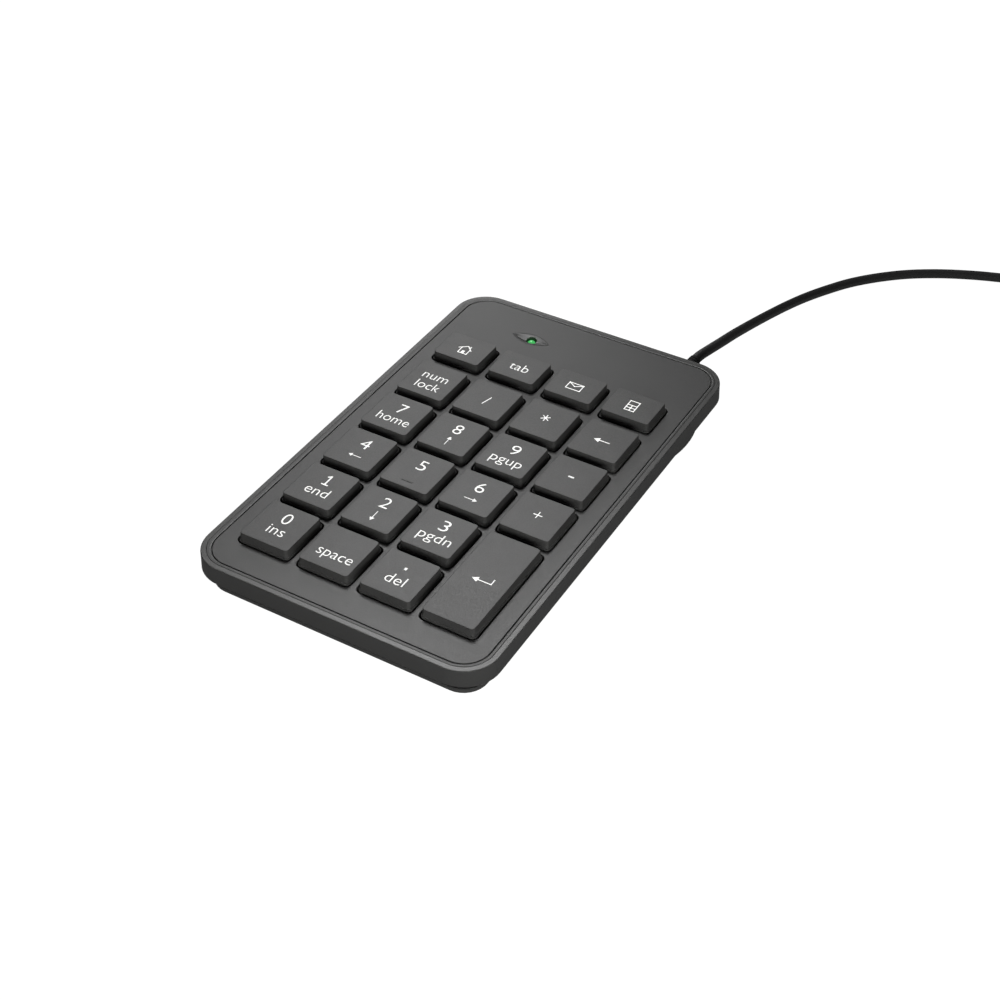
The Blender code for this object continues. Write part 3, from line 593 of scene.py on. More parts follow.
def make_lights():
    for name, ((azimuth, elevation, distance), size, watts, mirrors) in SOFTBOXES.items():
        data = bpy.data.lights.new(name, "AREA")
        data.shape = "RECTANGLE"
        data.size = size[0] * MM
        data.size_y = size[1] * MM
        data.energy = watts
        lamp = link_object(name, data)
        turn = Euler((0.0, math.radians(-elevation), math.radians(azimuth)))
        lamp.location = turn.to_matrix() @ Vector((distance * MM, 0.0, 0.0))
        lamp.rotation_euler = (-lamp.location).to_track_quat("-Z", "Y").to_euler()
        lamp.visible_glossy = mirrors
    world = bpy.data.worlds.new("studio")
    world.use_nodes = True
    set_values(world.node_tree.nodes["Background"], {"Color": WHITE, "Strength": WORLD_STRENGTH})
    bpy.context.scene.world = world
    bpy.context.scene.view_settings.view_transform = "Standard"


# ---- cable


def smooth_curve(points, steps):
    """A smooth curve through the given points, with `steps` short chords between each two."""
    knots = [Vector(point) for point in points]
    ends = [2 * knots[0] - knots[1], *knots, 2 * knots[-1] - knots[-2]]
    fine = []
    for before, start, stop, after in zip(ends, ends[1:], ends[2:], ends[3:]):
        for step in range(steps):
            t = step / steps
            pull = (3 * start - before - 3 * stop + after) / 2 * t**3
            bend = (2 * before - 5 * start + 4 * stop - after) / 2 * t**2
            fine.append(start + (stop - before) / 2 * t + bend + pull)
    return [*fine, knots[-1]]


def ease(share):
    share = min(1.0, max(0.0, share))
    return share * share * (3 - 2 * share)


def coil_place(turns):
    """Radius and height of the cord's middle after so many turns: inwards above, down, outwards below."""
    pitch = 2 * CABLE_RADIUS
    after = turns - TOP_TURNS
    if after < 0:
        return COIL_OUTER_RADIUS - pitch * turns, COIL_HIGH
    if after > DROP_TURNS:
        return COIL_INNER_RADIUS + pitch * (after - DROP_TURNS), COIL_LOW
    tightest = COIL_INNER_RADIUS - 1.0
    start = COIL_OUTER_RADIUS - pitch * TOP_TURNS
    dip = 0.85
    if after < dip:
        radius = start + (tightest - start) * ease(after / dip)
    else:
        radius = tightest + ((after - dip) / (DROP_TURNS - dip)) ** 2
    return radius, COIL_HIGH + (COIL_LOW - COIL_HIGH) * ease((after - 0.5) / 0.6)


def coil_knots():
    """Clockwise from above, from the coil's far side."""
    total = TOP_TURNS + DROP_TURNS + LOW_TURNS
    count = round(total * KNOTS_PER_TURN)
    knots = []
    for n in range(count + 1):
        turns = total * n / count
        radius, z = coil_place(turns)
        angle = math.pi / 2 - 2 * math.pi * turns
        x = COIL_CENTRE[0] + radius * math.cos(angle)
        y = COIL_CENTRE[1] + radius * math.sin(angle)
        knots.append((x, y, z))
    return knots


def make_tube(name, points, radius, resolution=4, place=WORLD):
    data = bpy.data.curves.new(name, "CURVE")
    data.dimensions = "3D"
    data.bevel_depth = radius * MM
    data.bevel_resolution = resolution
    data.use_fill_caps = True
    spline = data.splines.new("POLY")
    spline.points.add(len(points) - 1)
    for control, point in zip(spline.points, points):
        control.co = (*(place @ Vector(point)), 1.0)
    spline.use_smooth = True
    return link_object(name, data)


def make_cable():
    knots = [*CABLE_ROUTE, *coil_knots(), *TAIL_ROUTE]
    cord = make_tube("cable_cord", smooth_curve(knots, 4), CABLE_RADIUS)
    cord.data.materials.append(MATERIALS["jacket"])
    stand_for(cord, "case", "cable_jacket", "cable", "cable_coil", "cable_tail")


def make_tie():
    """A flat twist tie round the coil, with its two ends twisted together on top."""
    low, high, middle, half = world_box("cable_tie")
    thickness = 0.5
    band_top = 7.7
    centre = (middle.x, (band_top + 0.02) / 2)
    half_z = band_top / 2 - 0.02
    half_y = 2.0

    def ring(inset, edge, y):
        outline = rounded(half.x - inset, half_z - inset, 1.6 - inset, 6, centre)
        return upright(outline, COIL_CENTRE[1] + y * (1 - edge))

    edges = [(0.1, 0.0, -1), (0.0, 0.06, -1), (0.0, 0.06, 1), (0.1, 0.0, 1)]
    edges += [(thickness, 0.0, 1), (thickness, 0.0, -1)]
    loops = [ring(inset, edge, side * half_y) for inset, edge, side in edges]
    band = make_loft("cable_tie_band", loops, MATERIALS["tie"], WORLD, join_ends=True)
    stand_for(band, "case", "tie_plastic", "cable_tie")
    twist_turns = 2.5
    twist_length = 5.0
    twist_radius = 0.42
    for strand in (0, 1):
        points = []
        for n in range(25):
            share = n / 24
            turn = 2 * math.pi * twist_turns * share + math.pi * strand
            x = middle.x + twist_radius * math.cos(turn)
            z = high.z - 0.85 + twist_radius * math.sin(turn)
            points.append((x, low.y + 0.6 + twist_length * share, z))
        twist = make_tube(f"cable_tie_twist_{strand + 1}", points, 0.38, 2)
        twist.data.materials.append(MATERIALS["tie"])
        stand_for(twist, "case", "tie_plastic")
        twist.parent = band
    return band


# ---- plug


def plug_ring(middle, half, inset, corner, y, steps=5):
    return upright(rounded(half.x - inset, half.z - inset, corner, steps, (middle.x, middle.z)), y)


def make_overmould():
    """The moulded grip, with five grip grooves, a finger step and a ribbed, tapered strain relief."""
    low, high, middle, half = world_box("usb_overmould")
    sections = [(0.0, 0.6, 1.2), (0.18, 0.18, 1.5), (0.6, 0.0, 1.6)]
    for groove in range(5):
        start = 6.0 + 2.2 * groove
        sections += [(start, 0.0, 1.6), (start + 0.25, 0.35, 1.5)]
        sections += [(start + 0.85, 0.35, 1.5), (start + 1.1, 0.0, 1.6)]
    sections += [(19.6, 0.0, 1.6), (20.4, 0.25, 1.5), (20.9, 0.9, 1.4)]
    loops = [plug_ring(middle, half, inset, corner, low.y + y) for y, inset, corner in sections]
    relief = []
    for rib in range(4):
        start = low.y + 21.2 + 2.1 * rib
        radius = 3.1 - 0.22 * rib
        relief += [(start, radius), (start + 1.3, radius - 0.08)]
        relief += [(start + 1.45, radius - 0.6), (start + 1.95, radius - 0.6)]
    relief += [(high.y - 0.3, 2.15), (high.y, 1.95)]
    for y, radius in relief:
        outline = rounded(radius, radius, radius - 0.02, 5, (middle.x, middle.z))
        loops.append(upright(outline, y))
    pocket = rounded(6.3, 2.55, 0.5, 3, (middle.x, middle.z))
    cuts = [("DIFFERENCE", [[upright(pocket, low.y - 1.0), upright(pocket, low.y + 3.0)]])]
    body = carve("usb_grip", loops, MATERIALS["plug"], cuts, WORLD)
    return stand_for(body, "case", "plug_plastic", "usb_overmould")


def make_shell():
    """The folded steel shell, with its latch windows and the seam along its underside."""
    low, high, middle, half = world_box("usb_shell")
    sections = [(0.1, 0.4, low.y), (0.0, 0.5, low.y + 0.12), (0.0, 0.5, high.y)]
    sections += [(0.3, 0.2, high.y), (0.3, 0.2, low.y + 0.12), (0.22, 0.3, low.y)]
    loops = [plug_ring(middle, half, *section) for section in sections]
    openings = []
    for side in (-1, 1):
        window = rounded(1.25, 1.25, 0.25, 3, (middle.x + 2.85 * side, low.y + 6.2))
        openings.append(slab(window, low.z - 1.0, middle.z - 1.4))
        openings.append(slab(window, middle.z + 1.75, high.z + 1.0))
    seam = rounded(0.06, 6.0, 0.02, 1, (middle.x, middle.y - 3.0))
    openings.append(slab(seam, low.z - 0.5, low.z + 0.6))
    cuts = [("DIFFERENCE", openings)]
    shell = carve("usb_shell_folded", loops, MATERIALS["steel"], cuts, WORLD, join_ends=True)
    return stand_for(shell, "case", "steel", "usb_shell")


def make_tongue():
    low, high, middle, half = world_box("usb_tongue")
    sections = [(0.25, 0.15, low.y), (0.0, 0.2, low.y + 0.4), (0.0, 0.2, high.y)]
    loops = [plug_ring(middle, half, *section, steps=3) for section in sections]
    tongue = make_loft("usb_tongue_moulded", loops, MATERIALS["tongue"], WORLD)
    stand_for(tongue, "case", "tongue_plastic", "usb_tongue")
    mesh = bmesh.new()
    contacts = ((-3.5, 1.4), (-1.0, 2.2), (1.0, 2.2), (3.5, 1.4))
    for offset, start in contacts:
        centre = (middle.x + offset, (low.y + start + high.y) / 2)
        strip = rounded(0.5, (high.y - low.y - start) / 2, 0.15, 2, centre)
        add_loft(mesh, slab(strip, low.z - 0.12, low.z + 0.2))
    strips = finish_mesh("usb_contacts", mesh, MATERIALS["gold"], WORLD)
    stand_for(strips, "case", "steel")
    strips.parent = tongue
    return tongue


# ---- keycaps


def key_profile(half_x, half_y, centre, top):
    """Loops from the top face, over its edge, down the drafted wall and skirt, and up the inside."""

    def ring(outset, corner, z):
        return level(rounded(half_x + outset, half_y + outset, corner, 4, centre), z)

    def stem(half, z):
        return level(rounded(half, half, 0.4, 4, centre), z)

    loops = [ring(-inset, KEY_CORNER - inset, top - drop) for inset, drop in quarter(KEY_EDGE)]
    ledge = [(0.13, 0.9, 0.36), (0.15, 0.9, 0.28), (0.21, 0.9, 0.22), (0.34, 1.0, 0.2), (0.42, 1.1, 0.15)]
    loops += [ring(outset, corner, z) for outset, corner, z in ledge]
    loops += [ring(SKIRT_FLARE, 1.2, 0.04), ring(SKIRT_FLARE, 1.2, SKIRT_BOTTOM)]
    loops += [ring(SKIRT_FLARE - KEY_WALL, 0.5, SKIRT_BOTTOM), ring(-KEY_WALL, 0.5, top - KEY_WALL)]
    loops += [stem(STEM, top - KEY_WALL), stem(STEM, COLLAR_TOP)]
    loops += [stem(COLLAR, COLLAR_TOP), stem(COLLAR - 0.1, COLLAR_BOTTOM)]
    return loops


def key_place(node):
    """A key's centre and the half sizes of its flat top, from its CAD node's skirt."""
    low, high = deck_box(node)
    return node_middle(node), (high.x - low.x) / 2 - SKIRT_FLARE, (high.y - low.y) / 2 - SKIRT_FLARE


def add_locating_bar(mesh, centre):
    """The raised bar that a finger feels on the middle key."""
    place = (centre[0], centre[1] - BAR_SHIFT)
    loops = []
    for inset, rise in ((0.0, 0.0), (0.08, 0.08), (0.14, 0.11), (0.22, 0.12)):
        outline = rounded(BAR_HALF_LENGTH - inset, BAR_HALF_WIDTH - inset, 0.24 - inset, 4, place)
        loops.append(level(outline, KEY_TOP + rise))
    add_loft(mesh, loops)


def add_enter_hooks(mesh, centre):
    """The two hooks under the long key, which hold the stabiliser wire."""
    x, y = centre
    for side in (-1, 1):
        middle = y + HOOK_Y * side
        for hook_x in (-0.05, 1.95):
            leg = rounded(0.22, 0.5, 0.1, 2, (x + hook_x, middle))
            add_loft(mesh, slab(leg, HOOK_BOTTOM, KEY_TOP - KEY_WALL + 0.1))
        foot = rounded(1.2, 0.5, 0.1, 2, (x + 0.95, middle))
        add_loft(mesh, slab(foot, HOOK_BOTTOM, HOOK_BOTTOM + 0.4))


def make_keycaps():
    for node in KEY_NODES:
        centre, half_x, half_y = key_place(node)
        mesh = bmesh.new()
        add_loft(mesh, key_profile(half_x, half_y, centre, KEY_TOP))
        if node == "key_5":
            add_locating_bar(mesh, centre)
        if node == "key_enter":
            add_enter_hooks(mesh, centre)
        cap = finish_mesh(node.replace("key_", "keycap_"), mesh, MATERIALS["key"])
        stand_for(cap, node, "key_plastic", node)


# ---- legends

DIGIT_SIZE = 6.15
WORD_SIZE = 5.2
# How much is taken off each side of a digit's strokes, and the widths of drawn lines and arrow shafts
THINNER = 0.07
LINE = 0.28
SHAFT = 0.2

# Each key's words: the text, its left and right ends and its baseline, from the key's centre
WORDS = {
    "num_lock": [("num", -3.95, 4.4, 0.1), ("lock", -3.6, 4.3, -4.85)],
    "tab": [("tab", -2.95, 3.2, -1.9)],
    "7": [("7", -1.1, 1.6, 0.32), ("home", -4.85, 5.75, -4.4)],
    "8": [("8", -1.1, 1.5, 0.32)],
    "9": [("9", -1.45, 1.3, 0.4), ("pgup", -4.85, 4.95, -4.3)],
    "4": [("4", -1.25, 1.7, 0.3)],
    "5": [("5", -1.1, 1.5, 0.3)],
    "6": [("6", -1.35, 1.35, 0.35)],
    "1": [("end", -3.35, 3.85, -4.05)],
    "2": [("2", -1.0, 1.6, 0.75)],
    "3": [("3", -1.25, 1.3, 0.82), ("pgdn", -4.85, 5.05, -3.9)],
    "0": [("0", -1.05, 1.55, 0.82), ("ins", -2.2, 3.1, -3.9)],
    "space": [("space", -4.95, 5.85, -3.9)],
    "decimal": [("del", -2.9, 2.85, -3.8)],
}

# Each key's strokes: the points of a line, and its width
STROKES = {
    "1": [
        ([(0.37, 0.8), (0.37, 4.85)], 0.42),
        ([(-0.7, 0.85), (1.45, 0.85)], 0.38),
        ([(-0.6, 4.0), (0.45, 4.7)], 0.38),
    ],
    "divide": [([(-0.5, -2.5), (0.6, 1.45)], LINE)],
    "multiply": [
        ([(-0.1, -0.6), (-0.1, 2.4)], LINE),
        ([(-1.3, 1.75), (1.1, 0.1)], LINE),
        ([(-1.3, 0.1), (1.1, 1.75)], LINE),
    ],
    "minus": [([(-0.9, 0.1), (0.85, 0.1)], 0.5)],
    "plus": [([(-1.4, 0.43), (1.3, 0.43)], LINE), ([(-0.05, -0.9), (-0.05, 1.85)], LINE)],
    "backspace": [([(-1.0, -0.37), (2.3, -0.37)], LINE)],
    "enter": [([(-1.0, -0.87), (3.0, -0.87), (3.0, 1.0)], LINE)],
    "4": [([(-0.7, -3.37), (2.4, -3.37)], SHAFT)],
    "6": [([(-2.05, -3.07), (0.9, -3.07)], SHAFT)],
    "8": [([(0.17, -5.35), (0.17, -2.6)], SHAFT)],
    "2": [([(0.23, -1.05), (0.23, -4.0)], SHAFT)],
    "home": [
        ([(-2.05, -0.35), (0.35, 1.4), (2.25, -0.5)], LINE),
        ([(1.3, 0.7), (1.3, 1.5)], 0.4),
        ([(-1.2, 0.1), (-1.2, -2.6), (1.75, -2.6), (1.75, 0.0)], LINE),
    ],
    "mail": [
        ([(-2.4, -1.85), (2.2, -1.85), (2.2, 1.15), (-2.4, 1.15), (-2.4, -1.85)], LINE),
        ([(-2.4, 1.15), (-0.2, -0.3), (2.2, 1.15)], LINE),
    ],
    "calculator": [
        ([(-1.7, -2.5), (1.3, -2.5), (1.3, 2.1), (-1.7, 2.1), (-1.7, -2.5)], LINE),
        ([(-1.7, 0.1), (1.3, 0.1)], LINE),
        ([(-1.7, -1.2), (1.3, -1.2)], LINE),
        ([(-0.2, 0.1), (-0.2, -2.5)], LINE),
    ],
}

# Each key's filled shapes: arrowheads, the house's door and the decimal point
SHAPES = {
    "backspace": [(-2.7, -0.37), (-0.95, -1.35), (-0.95, 0.61)],
    "enter": [(-2.7, -0.87), (-0.95, -1.8), (-0.95, 0.06)],
    "4": [(-1.65, -3.37), (-0.6, -4.05), (-0.6, -2.69)],
    "6": [(1.95, -3.07), (0.8, -2.35), (0.8, -3.79)],
    "8": [(0.17, -1.45), (-0.55, -2.7), (0.89, -2.7)],
    "2": [(0.23, -5.1), (0.95, -3.9), (-0.49, -3.9)],
    "home": [(-0.3, -2.6), (0.62, -2.6), (0.62, -1.2), (-0.3, -1.2)],
    "decimal": [(-0.3, 2.1), (0.4, 2.1), (0.4, 3.0), (-0.3, 3.0)],
}


def add_text(mesh, text, size, left, right, baseline):
    """Lettering as a thin printed layer on the key's top, stretched to reach from left to right."""
    data = bpy.data.curves.new("lettering", "FONT")
    data.body = text
    data.size = size
    data.offset = -THINNER * size / DIGIT_SIZE
    data.extrude = INK / 2
    data.resolution_u = 6
    letters = mesh_of_curve(data)
    places = [vertex.co.x for vertex in letters.verts]
    stretch = (right - left) / (max(places) - min(places))
    shift = Matrix.Translation((left - min(places) * stretch, baseline, KEY_TOP + INK / 2))
    letters.transform(shift @ Matrix.Diagonal((stretch, 1.0, 1.0, 1.0)))
    made = bpy.data.meshes.new("lettering")
    letters.to_mesh(made)
    letters.free()
    mesh.from_mesh(made)
    bpy.data.meshes.remove(made)


def add_stroke(mesh, points, width, centre):
    """A line of even width as one thin bar for each of its stretches."""
    for start, stop in zip(points, points[1:]):
        along = (Vector(stop) - Vector(start)).normalized() * width / 2
        side = Vector((-along.y, along.x))
        overrun = along if len(points) > 2 else along * 0
        first = Vector(start) - overrun
        last = Vector(stop) + overrun
        corners = [first - side, last - side, last + side, first + side]
        outline = [(centre[0] + corner.x, centre[1] + corner.y) for corner in corners]
        add_loft(mesh, slab(outline, KEY_TOP, KEY_TOP + INK))


def make_legends():
    for node in KEY_NODES:
        name = node.removeprefix("key_")
        centre = key_place(node)[0]
        mesh = bmesh.new()
        for text, left, right, base in WORDS.get(name, []):
            size = DIGIT_SIZE if text.isdigit() else WORD_SIZE
            add_text(mesh, text, size, centre[0] + left, centre[0] + right, centre[1] + base)
        for points, width in STROKES.get(name, []):
            add_stroke(mesh, points, width, centre)
        if name in SHAPES:
            outline = [(centre[0] + x, centre[1] + y) for x, y in SHAPES[name]]
            add_loft(mesh, slab(outline, KEY_TOP, KEY_TOP + INK))
        legend = finish_mesh(f"legend_{name}", mesh, MATERIALS["ink"], even_shading=False)
        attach(legend, node)


# ---- top cover


def eye_edge(across):
    """Half the eye's width at `across`, from -1 at its left tip to 1 at its right."""
    return EYE_HALF_WIDTH * (1 - across * across)


def eye_outline(scale=1.0, steps=24):
    points = []
    for side in (1, -1):
        for step in range(steps):
            across = math.cos(math.pi * step / steps) * side
            x = EYE_CENTRE[0] + EYE_HALF_LENGTH * across * scale
            points.append((x, EYE_CENTRE[1] + side * eye_edge(across) * scale))
    return points


def scoop_depth(x, y):
    """The eye's floor: steep down at its front edge, then rising gently towards its rear."""
    across = (x - EYE_CENTRE[0]) / EYE_HALF_LENGTH
    half = eye_edge(across)
    if half < 0.02:
        return -0.01
    share = min(1.0, max(0.0, (y - EYE_CENTRE[1] + half) / (2 * half)))
    fall = ease(share / 0.3)
    rise = 1.0 - 0.97 * ease((share - 0.3) / 0.7)
    return -0.01 - EYE_DEPTH * fall * rise * min(1.0, (half / EYE_HALF_WIDTH) ** 0.5)


def add_scoop(mesh):
    """The skin between the eye's outline and the lamp's hole, and the hole's wall."""
    low, high = deck_box("num_lock_led")
    lamp_centre = node_middle("num_lock_led")
    lamp_radius = (high.x - low.x) / 2 - 0.1
    outline = eye_outline(1.0 + DECK_EDGE / EYE_HALF_WIDTH)
    rings = []
    for n in range(SCOOP_RINGS + 1):
        ring = []
        for x, y in outline:
            direction = Vector((x, y)) - Vector(lamp_centre)
            hole = Vector(lamp_centre) + direction.normalized() * lamp_radius
            point = Vector((x, y)).lerp(hole, n / SCOOP_RINGS)
            ring.append((point.x, point.y, scoop_depth(point.x, point.y)))
        rings.append(ring)
    rings.append([(x, y, -DECK_THICKNESS) for x, y, _ in rings[-1]])
    add_loft(mesh, rings, capped=False)


def plate_curve(outlines):
    """A flat plate with holes and rounded edges, as a filled 2D curve."""
    data = bpy.data.curves.new("deck_plate", "CURVE")
    data.dimensions = "2D"
    data.fill_mode = "BOTH"
    data.bevel_depth = DECK_EDGE
    data.bevel_resolution = 3
    data.offset = -DECK_EDGE
    data.extrude = DECK_THICKNESS / 2 - DECK_EDGE
    for outline in outlines:
        spline = data.splines.new("POLY")
        spline.points.add(len(outline) - 1)
        spline.use_cyclic_u = True
        for control, (x, y) in zip(spline.points, outline):
            control.co = (x, y, 0.0, 1.0)
    return data


def plate_outline(inset):
    """An outline that follows the groove, which sits slightly right of the case's middle."""
    half_x = CASE_HIGH.x - GROOVE_SHIFT_X - inset
    return rounded(half_x, CASE_HIGH.y - inset, CASE_CORNER - inset, 12, (GROOVE_SHIFT_X, 0.0))


def rim_loops():
    """From the groove's floor, over the rim and down the wall, then up inside to the deck."""

    def ring(inset, z):
        return level(rounded(CASE_HIGH.x - inset, CASE_HIGH.y - inset, CASE_CORNER - inset, 12), z)

    lip = PLATE_INSET - GROOVE
    groove = [(PLATE_INSET + 0.5, -0.45), (lip, -0.45), (lip, -0.16), (lip - 0.05, -0.05)]
    groove += [(lip - 0.16, -0.01), (lip - 0.4, 0.0)]
    section = [(1.95, 0.0), (1.87, -0.02), (1.8, -0.07), (1.7, -0.08), (0.5, -0.09), (0.4, -0.11)]
    section += [(0.32, -0.16), (0.26, -0.25), (0.23, -0.4), (0.22, -0.9)]
    section += [(0.15, -2.6), (0.02, -4.9), (0.0, -5.3)]
    section += [(0.04, -5.42), (0.12, -5.48), (0.25, -5.5), (1.8, -5.5), (2.0, -5.4), (2.3, -1.55)]
    section += [(PLATE_INSET + 0.5, -1.55)]
    return [level(plate_outline(inset), z) for inset, z in groove] + [ring(inset, z) for inset, z in section]


def inset_from_edge(x, y):
    """How far inside the case's outline a place of the deck is."""
    over_x = abs(x) - (CASE_HIGH.x - CASE_CORNER)
    over_y = abs(y) - (CASE_HIGH.y - CASE_CORNER)
    if over_x > 0 and over_y > 0:
        return CASE_CORNER - math.hypot(over_x, over_y)
    return CASE_CORNER - max(over_x, over_y)


def make_top_cover():
    outlines = [plate_outline(PLATE_INSET)]
    for node in KEY_NODES:
        centre, half_x, half_y = key_place(node)
        outlines.append(rounded(half_x + APERTURE, half_y + APERTURE, APERTURE_CORNER, 6, centre))
    outlines.append(eye_outline(1.0 + DECK_EDGE / EYE_HALF_WIDTH))
    mesh = mesh_of_curve(plate_curve(outlines))
    mesh.transform(Matrix.Translation((0.0, 0.0, -DECK_THICKNESS / 2)))
    add_loft(mesh, rim_loops(), join_ends=True)
    add_scoop(mesh)
    for side in (-1, 1):
        rib = rounded(0.6, 52.0, 0.2, 2, (side * RIB_X, -8.0))
        add_loft(mesh, slab(rib, -3.3, 0.3 - DECK_THICKNESS))
    boss = ((2.3, -1.3), (2.3, -4.6), (1.25, -4.6), (1.25, -1.3))
    for place in SCREW_PLACES:
        add_loft(mesh, turned(node_middle(f"case_screw_{place}"), boss), join_ends=True)
    # Faces of the rim band get the lighter rim copy of the case plastic, a painted sheen.
    for face in mesh.faces:
        middle = face.calc_center_median()
        if middle.z > RIM_BOTTOM and inset_from_edge(middle.x, middle.y) < RIM_BAND:
            face.material_index = 1
    cover = finish_mesh("top_cover_moulding", mesh, MATERIALS["case"])
    cover.data.materials.append(MATERIALS["rim"])
    stand_for(cover, "case", "case_plastic", "top_cover")


# ---- bottom cover, feet and screws


def riser_outline(inset, steps=16):
    """The riser bar in plan: straight along X, with shallow convex ends."""
    half_depth = RISER_HALF_DEPTH - inset
    points = []
    for side in (1, -1):
        for step in range(steps + 1):
            across = side * (2 * step / steps - 1)
            x = side * (RISER_X - inset - RISER_BULGE * across * across)
            points.append((x, RISER_Y + half_depth * across))
    return points


def belly_outline(inset):
    low_x = BELLY_LEFT + inset
    high_x = BELLY_RIGHT - inset
    return between(low_x, high_x, BELLY_FRONT + inset, BELLY_REAR - inset, BELLY_CORNER - inset)


def make_bottom_cover():
    """Flange, belly and riser, hollowed, with bosses and counterbores for the case screws."""
    flange = []
    for inset, z in ((0.3, FLANGE_BOTTOM), (0.0, FLANGE_BOTTOM + 0.3), (0.0, FLANGE_TOP)):
        outline = rounded(CASE_HIGH.x - 2.5 - inset, CASE_HIGH.y - 2.35 - inset, 8.3 - inset, 10)
        flange.append(level(outline, z))
    inner = between(BELLY_LEFT + 0.1, BELLY_RIGHT - 2.5, BELLY_FRONT + 2.5, BELLY_REAR - 0.1, 6.0)
    core = slab(inner, -6.0, FLANGE_BOTTOM + 1.2)
    lip = [level(belly_outline(inset), BELLY_BOTTOM + drop) for inset, drop in quarter(BELLY_EDGE)]
    lip += [level(belly_outline(0.0), -5.95), level(belly_outline(0.15), -5.8)]
    riser_bottom = deck_box("bottom_cover")[0].z
    riser = [level(riser_outline(inset), riser_bottom + drop) for inset, drop in quarter(RISER_EDGE)]
    riser += [level(riser_outline(0.0), FLANGE_BOTTOM + 0.8)]
    floor_top = BELLY_BOTTOM + FLOOR
    hollow = between(BELLY_LEFT + FLOOR, BELLY_RIGHT - 4.0, BELLY_FRONT + 4.0, BELLY_REAR - FLOOR, 5.0)
    hollow_loops = slab(hollow, floor_top, 1.0)
    riser_hollow = [level(riser_outline(FLOOR + 1.0), riser_bottom + FLOOR)]
    riser_hollow += [level(riser_outline(FLOOR + 0.2), floor_top + 0.4)]
    spots = [node_middle(f"case_screw_{place}") for place in SCREW_PLACES]
    board_spots = [node_middle(f"board_screw_{side}") for side in ("left", "right")]
    bosses = [turned(spot, [(2.6, floor_top - 0.4), (2.6, -4.9)]) for spot in spots]
    bosses += [turned(spot, [(2.5, riser_bottom + 1.0), (2.5, -7.05)]) for spot in board_spots]
    holes = [turned(spot, [(1.25, -8.0), (1.25, -4.0)]) for spot in spots]
    holes += [turned(spot, [(1.1, riser_bottom + 2.2), (1.1, -6.0)]) for spot in board_spots]
    recesses = [turned(spot, [(2.6, -8.2), (2.6, -7.1), (2.25, -6.85), (2.25, -5.9)]) for spot in spots]
    grommet_x = node_middle("cable_grommet")[0]
    passage = between(grommet_x - 3.8, grommet_x + 3.8, 70.05, 74.0, 0.2, 2)
    lead = between(grommet_x - 1.8, grommet_x + 1.8, 66.0, 70.4, 0.2, 2)
    steps = [
        ("UNION", [core]),
        ("UNION", [lip]),
        ("UNION", [riser]),
        ("DIFFERENCE", [hollow_loops]),
        ("DIFFERENCE", [riser_hollow]),
        ("UNION", bosses),
        ("DIFFERENCE", holes),
        ("DIFFERENCE", recesses),
        ("DIFFERENCE", [slab(passage, -5.9, 1.0)]),
        ("DIFFERENCE", [slab(lead, -5.4, 1.1)]),
    ]
    cover = carve("bottom_cover_tray", flange, MATERIALS["base"], steps)
    stand_for(cover, "case", "case_plastic", "bottom_cover")


def rest_height(y):
    """The table's surface, in deck axes."""
    up = DECK.col[2].xyz / MM
    along = DECK.col[1].xyz / MM
    return (-DECK.translation.z / MM - y * along.z) / up.z


def make_feet():
    for place in SCREW_PLACES:
        node = f"foot_{place}"
        low, high = deck_box(node)
        corner = min(high.x - low.x, high.y - low.y) / 2 - 0.1

        def foot_outline(inset):
            sides = (low.x + inset, high.x - inset, low.y + inset, high.y - inset)
            return between(*sides, corner - inset, 10)

        loops = []
        for inset, rise in quarter(FOOT_EDGE):
            loops.append([(x, y, rest_height(y) + rise) for x, y in foot_outline(inset)])
        loops.append(level(foot_outline(0.0), high.z))
        foot = make_loft(f"rubber_{node}", loops, MATERIALS["rubber"])
        stand_for(foot, "case", "rubber", node)


def make_screw(node, head_low, head_high, shank_end, head_up):
    """A pan-head screw with a thread and a cross recess. Its head looks up or down."""
    centre = node_middle(node)
    way = 1 if head_up else -1
    face = head_high if head_up else head_low
    seat = head_low if head_up else head_high
    profile = [(0.5, face), (1.1, face - 0.04 * way), (1.5, face - 0.16 * way), (1.75, face - 0.36 * way)]
    profile += [(HEAD_RADIUS, face - 0.62 * way), (HEAD_RADIUS, seat + 0.08 * way)]
    profile += [(HEAD_RADIUS - 0.08, seat), (THREAD_OUTER, seat)]
    turns = int((abs(shank_end - seat) - 0.8) / THREAD_PITCH)
    for n in range(turns):
        z = seat - way * (0.3 + THREAD_PITCH * n)
        profile += [(THREAD_INNER, z), (THREAD_OUTER, z - way * 0.22)]
    profile += [(THREAD_INNER, shank_end + way * THREAD_PITCH), (0.3, shank_end)]
    steps = []
    depth = min(0.75, abs(face - seat) - 0.15)
    for half_x, half_y in ((1.05, 0.2), (0.2, 1.05)):
        slot = rounded(half_x, half_y, 0.08, 3, centre)
        narrow = rounded(half_x * 0.45, half_y * 0.9, 0.05, 3, centre)
        bodies = [[level(slot, face + way), level(slot, face - way * 0.3), level(narrow, face - way * depth)]]
        steps.append(("DIFFERENCE", bodies))
    screw = carve(f"{node}_threaded", turned(centre, profile, 28), MATERIALS["steel"], steps)
    stand_for(screw, "case", "steel", node)


def make_screws():
    for place in SCREW_PLACES:
        low, high = deck_box(f"case_screw_{place}")
        make_screw(f"case_screw_{place}", low.z, -6.05, high.z, head_up=False)
    for side in ("left", "right"):
        low, high = deck_box(f"board_screw_{side}")
        make_screw(f"board_screw_{side}", -3.2, high.z, low.z, head_up=True)


# ---- lamp, grommet and inner pieces


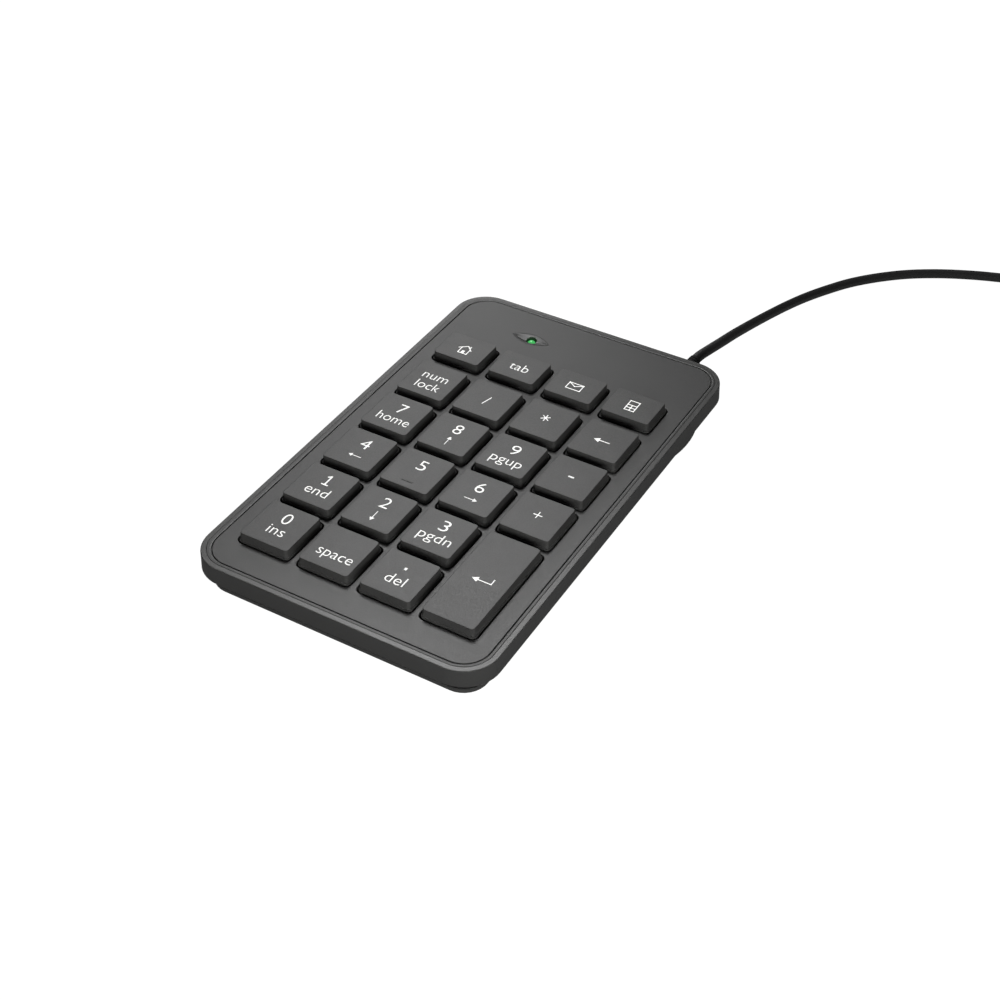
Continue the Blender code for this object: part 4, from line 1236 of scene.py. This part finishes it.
def make_lamp():
    low, high = deck_box("num_lock_led")
    centre = node_middle("num_lock_led")
    radius = (high.x - low.x) / 2 - 0.4
    shoulder = high.z - radius
    profile = [(radius + 0.4, low.z), (radius + 0.4, -4.95), (radius + 0.35, -4.9), (radius, -4.9)]
    profile += [(radius, shoulder)]
    for step in range(1, 9):
        angle = math.pi / 2 * step / 8.5
        profile.append((radius * math.cos(angle), shoulder + radius * math.sin(angle)))
    lamp = make_loft("num_lock_lamp", turned(centre, profile, 36), MATERIALS["lens"])
    stand_for(lamp, "case", "led_epoxy", "num_lock_led")


def make_grommet():
    """A flange held behind the rear wall, a collar outside it and a short ribbed strain relief."""
    low, high = deck_box("cable_grommet")
    x = (low.x + high.x) / 2
    z = high.z - 2.5
    wall = CASE_HIGH.y

    def ring(half_x, half_z, corner, y):
        return upright(rounded(half_x, half_z, corner, 8, (x, z)), y)

    profile = [(1.9, -2.35), (1.9, 0.1), (2.05, 0.1), (2.15, 0.2), (2.15, 0.8), (2.05, 0.95)]
    for rib in range(3):
        start = 1.3 + 1.15 * rib
        radius = 2.02 - 0.08 * rib
        profile += [(radius - 0.12, start), (radius, start + 0.12), (radius, start + 0.65)]
        profile += [(radius - 0.12, start + 0.77)]
    tip = high.y - wall
    profile += [(1.78, tip - 0.15), (1.7, tip)]
    loops = [ring(3.4, 1.75, 0.6, low.y), ring(3.4, 1.75, 0.6, wall - 2.35)]
    loops += [ring(radius, radius, radius - 0.01, wall + y) for radius, y in profile]
    grommet = make_loft("cable_strain_relief", loops, MATERIALS["rubber"])
    return stand_for(grommet, "case", "rubber", "cable_grommet")


# A rubber dome as (radius, z): down inside it, out under its foot, and up to its top
DOME_FOOT = -4.5
DOME_PROFILE = [(1.2, -2.75), (1.32, -2.85), (2.2, -4.3), (2.3, DOME_FOOT), (3.05, DOME_FOOT), (3.05, -4.28)]
DOME_PROFILE += [(2.92, -4.18), (2.75, -4.1), (2.05, -2.5), (1.9, -2.28), (1.75, -2.2)]
DOME_SHEET_THICKNESS = 0.3


def make_domes():
    """The silicone sheet, and on it a dome for each key."""
    low, high = deck_box("rubber_dome_sheet")
    edges = ((0.05, 0.0), (0.0, 0.05), (0.0, DOME_SHEET_THICKNESS - 0.05), (0.05, DOME_SHEET_THICKNESS))
    loops = []
    for inset, rise in edges:
        outline = between(low.x + inset, high.x - inset, low.y + inset, high.y - inset, 1.0 - inset)
        loops.append(level(outline, low.z + rise))
    sheet = make_loft("dome_sheet", loops, MATERIALS["silicone"])
    stand_for(sheet, "case", "silicone", "rubber_dome_sheet")
    for node in KEY_NODES:
        centre = key_place(node)[0]
        dome = make_loft(f"dome_{node}", turned(centre, DOME_PROFILE), MATERIALS["silicone"])
        stand_for(dome, "case", "silicone")
        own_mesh(dome)


INNER_PIECES = {
    "key_guide_frame": "guide",
    "membrane_top_layer": "film",
    "membrane_spacer": "film",
    "membrane_bottom_layer": "film",
    "membrane_clamp_bar": "guide",
    "controller_board": "board",
    "controller_chip": "chip",
    "cable_header": "header",
    "cable_inner_lead": "jacket",
    "enter_stabiliser_wire": "steel",
}


def dress_inner_pieces():
    for node, material in INNER_PIECES.items():
        data = frame["nodes"][node].data
        data.materials.clear()
        data.materials.append(MATERIALS[material])


make_camera()
make_floor()
make_lights()
tie = make_tie()
plug = make_overmould()
shell = make_shell()
tongue = make_tongue()
grommet = make_grommet()
make_cable()
make_keycaps()
make_legends()
make_top_cover()
make_bottom_cover()
make_feet()
make_screws()
make_lamp()
make_domes()
dress_inner_pieces()
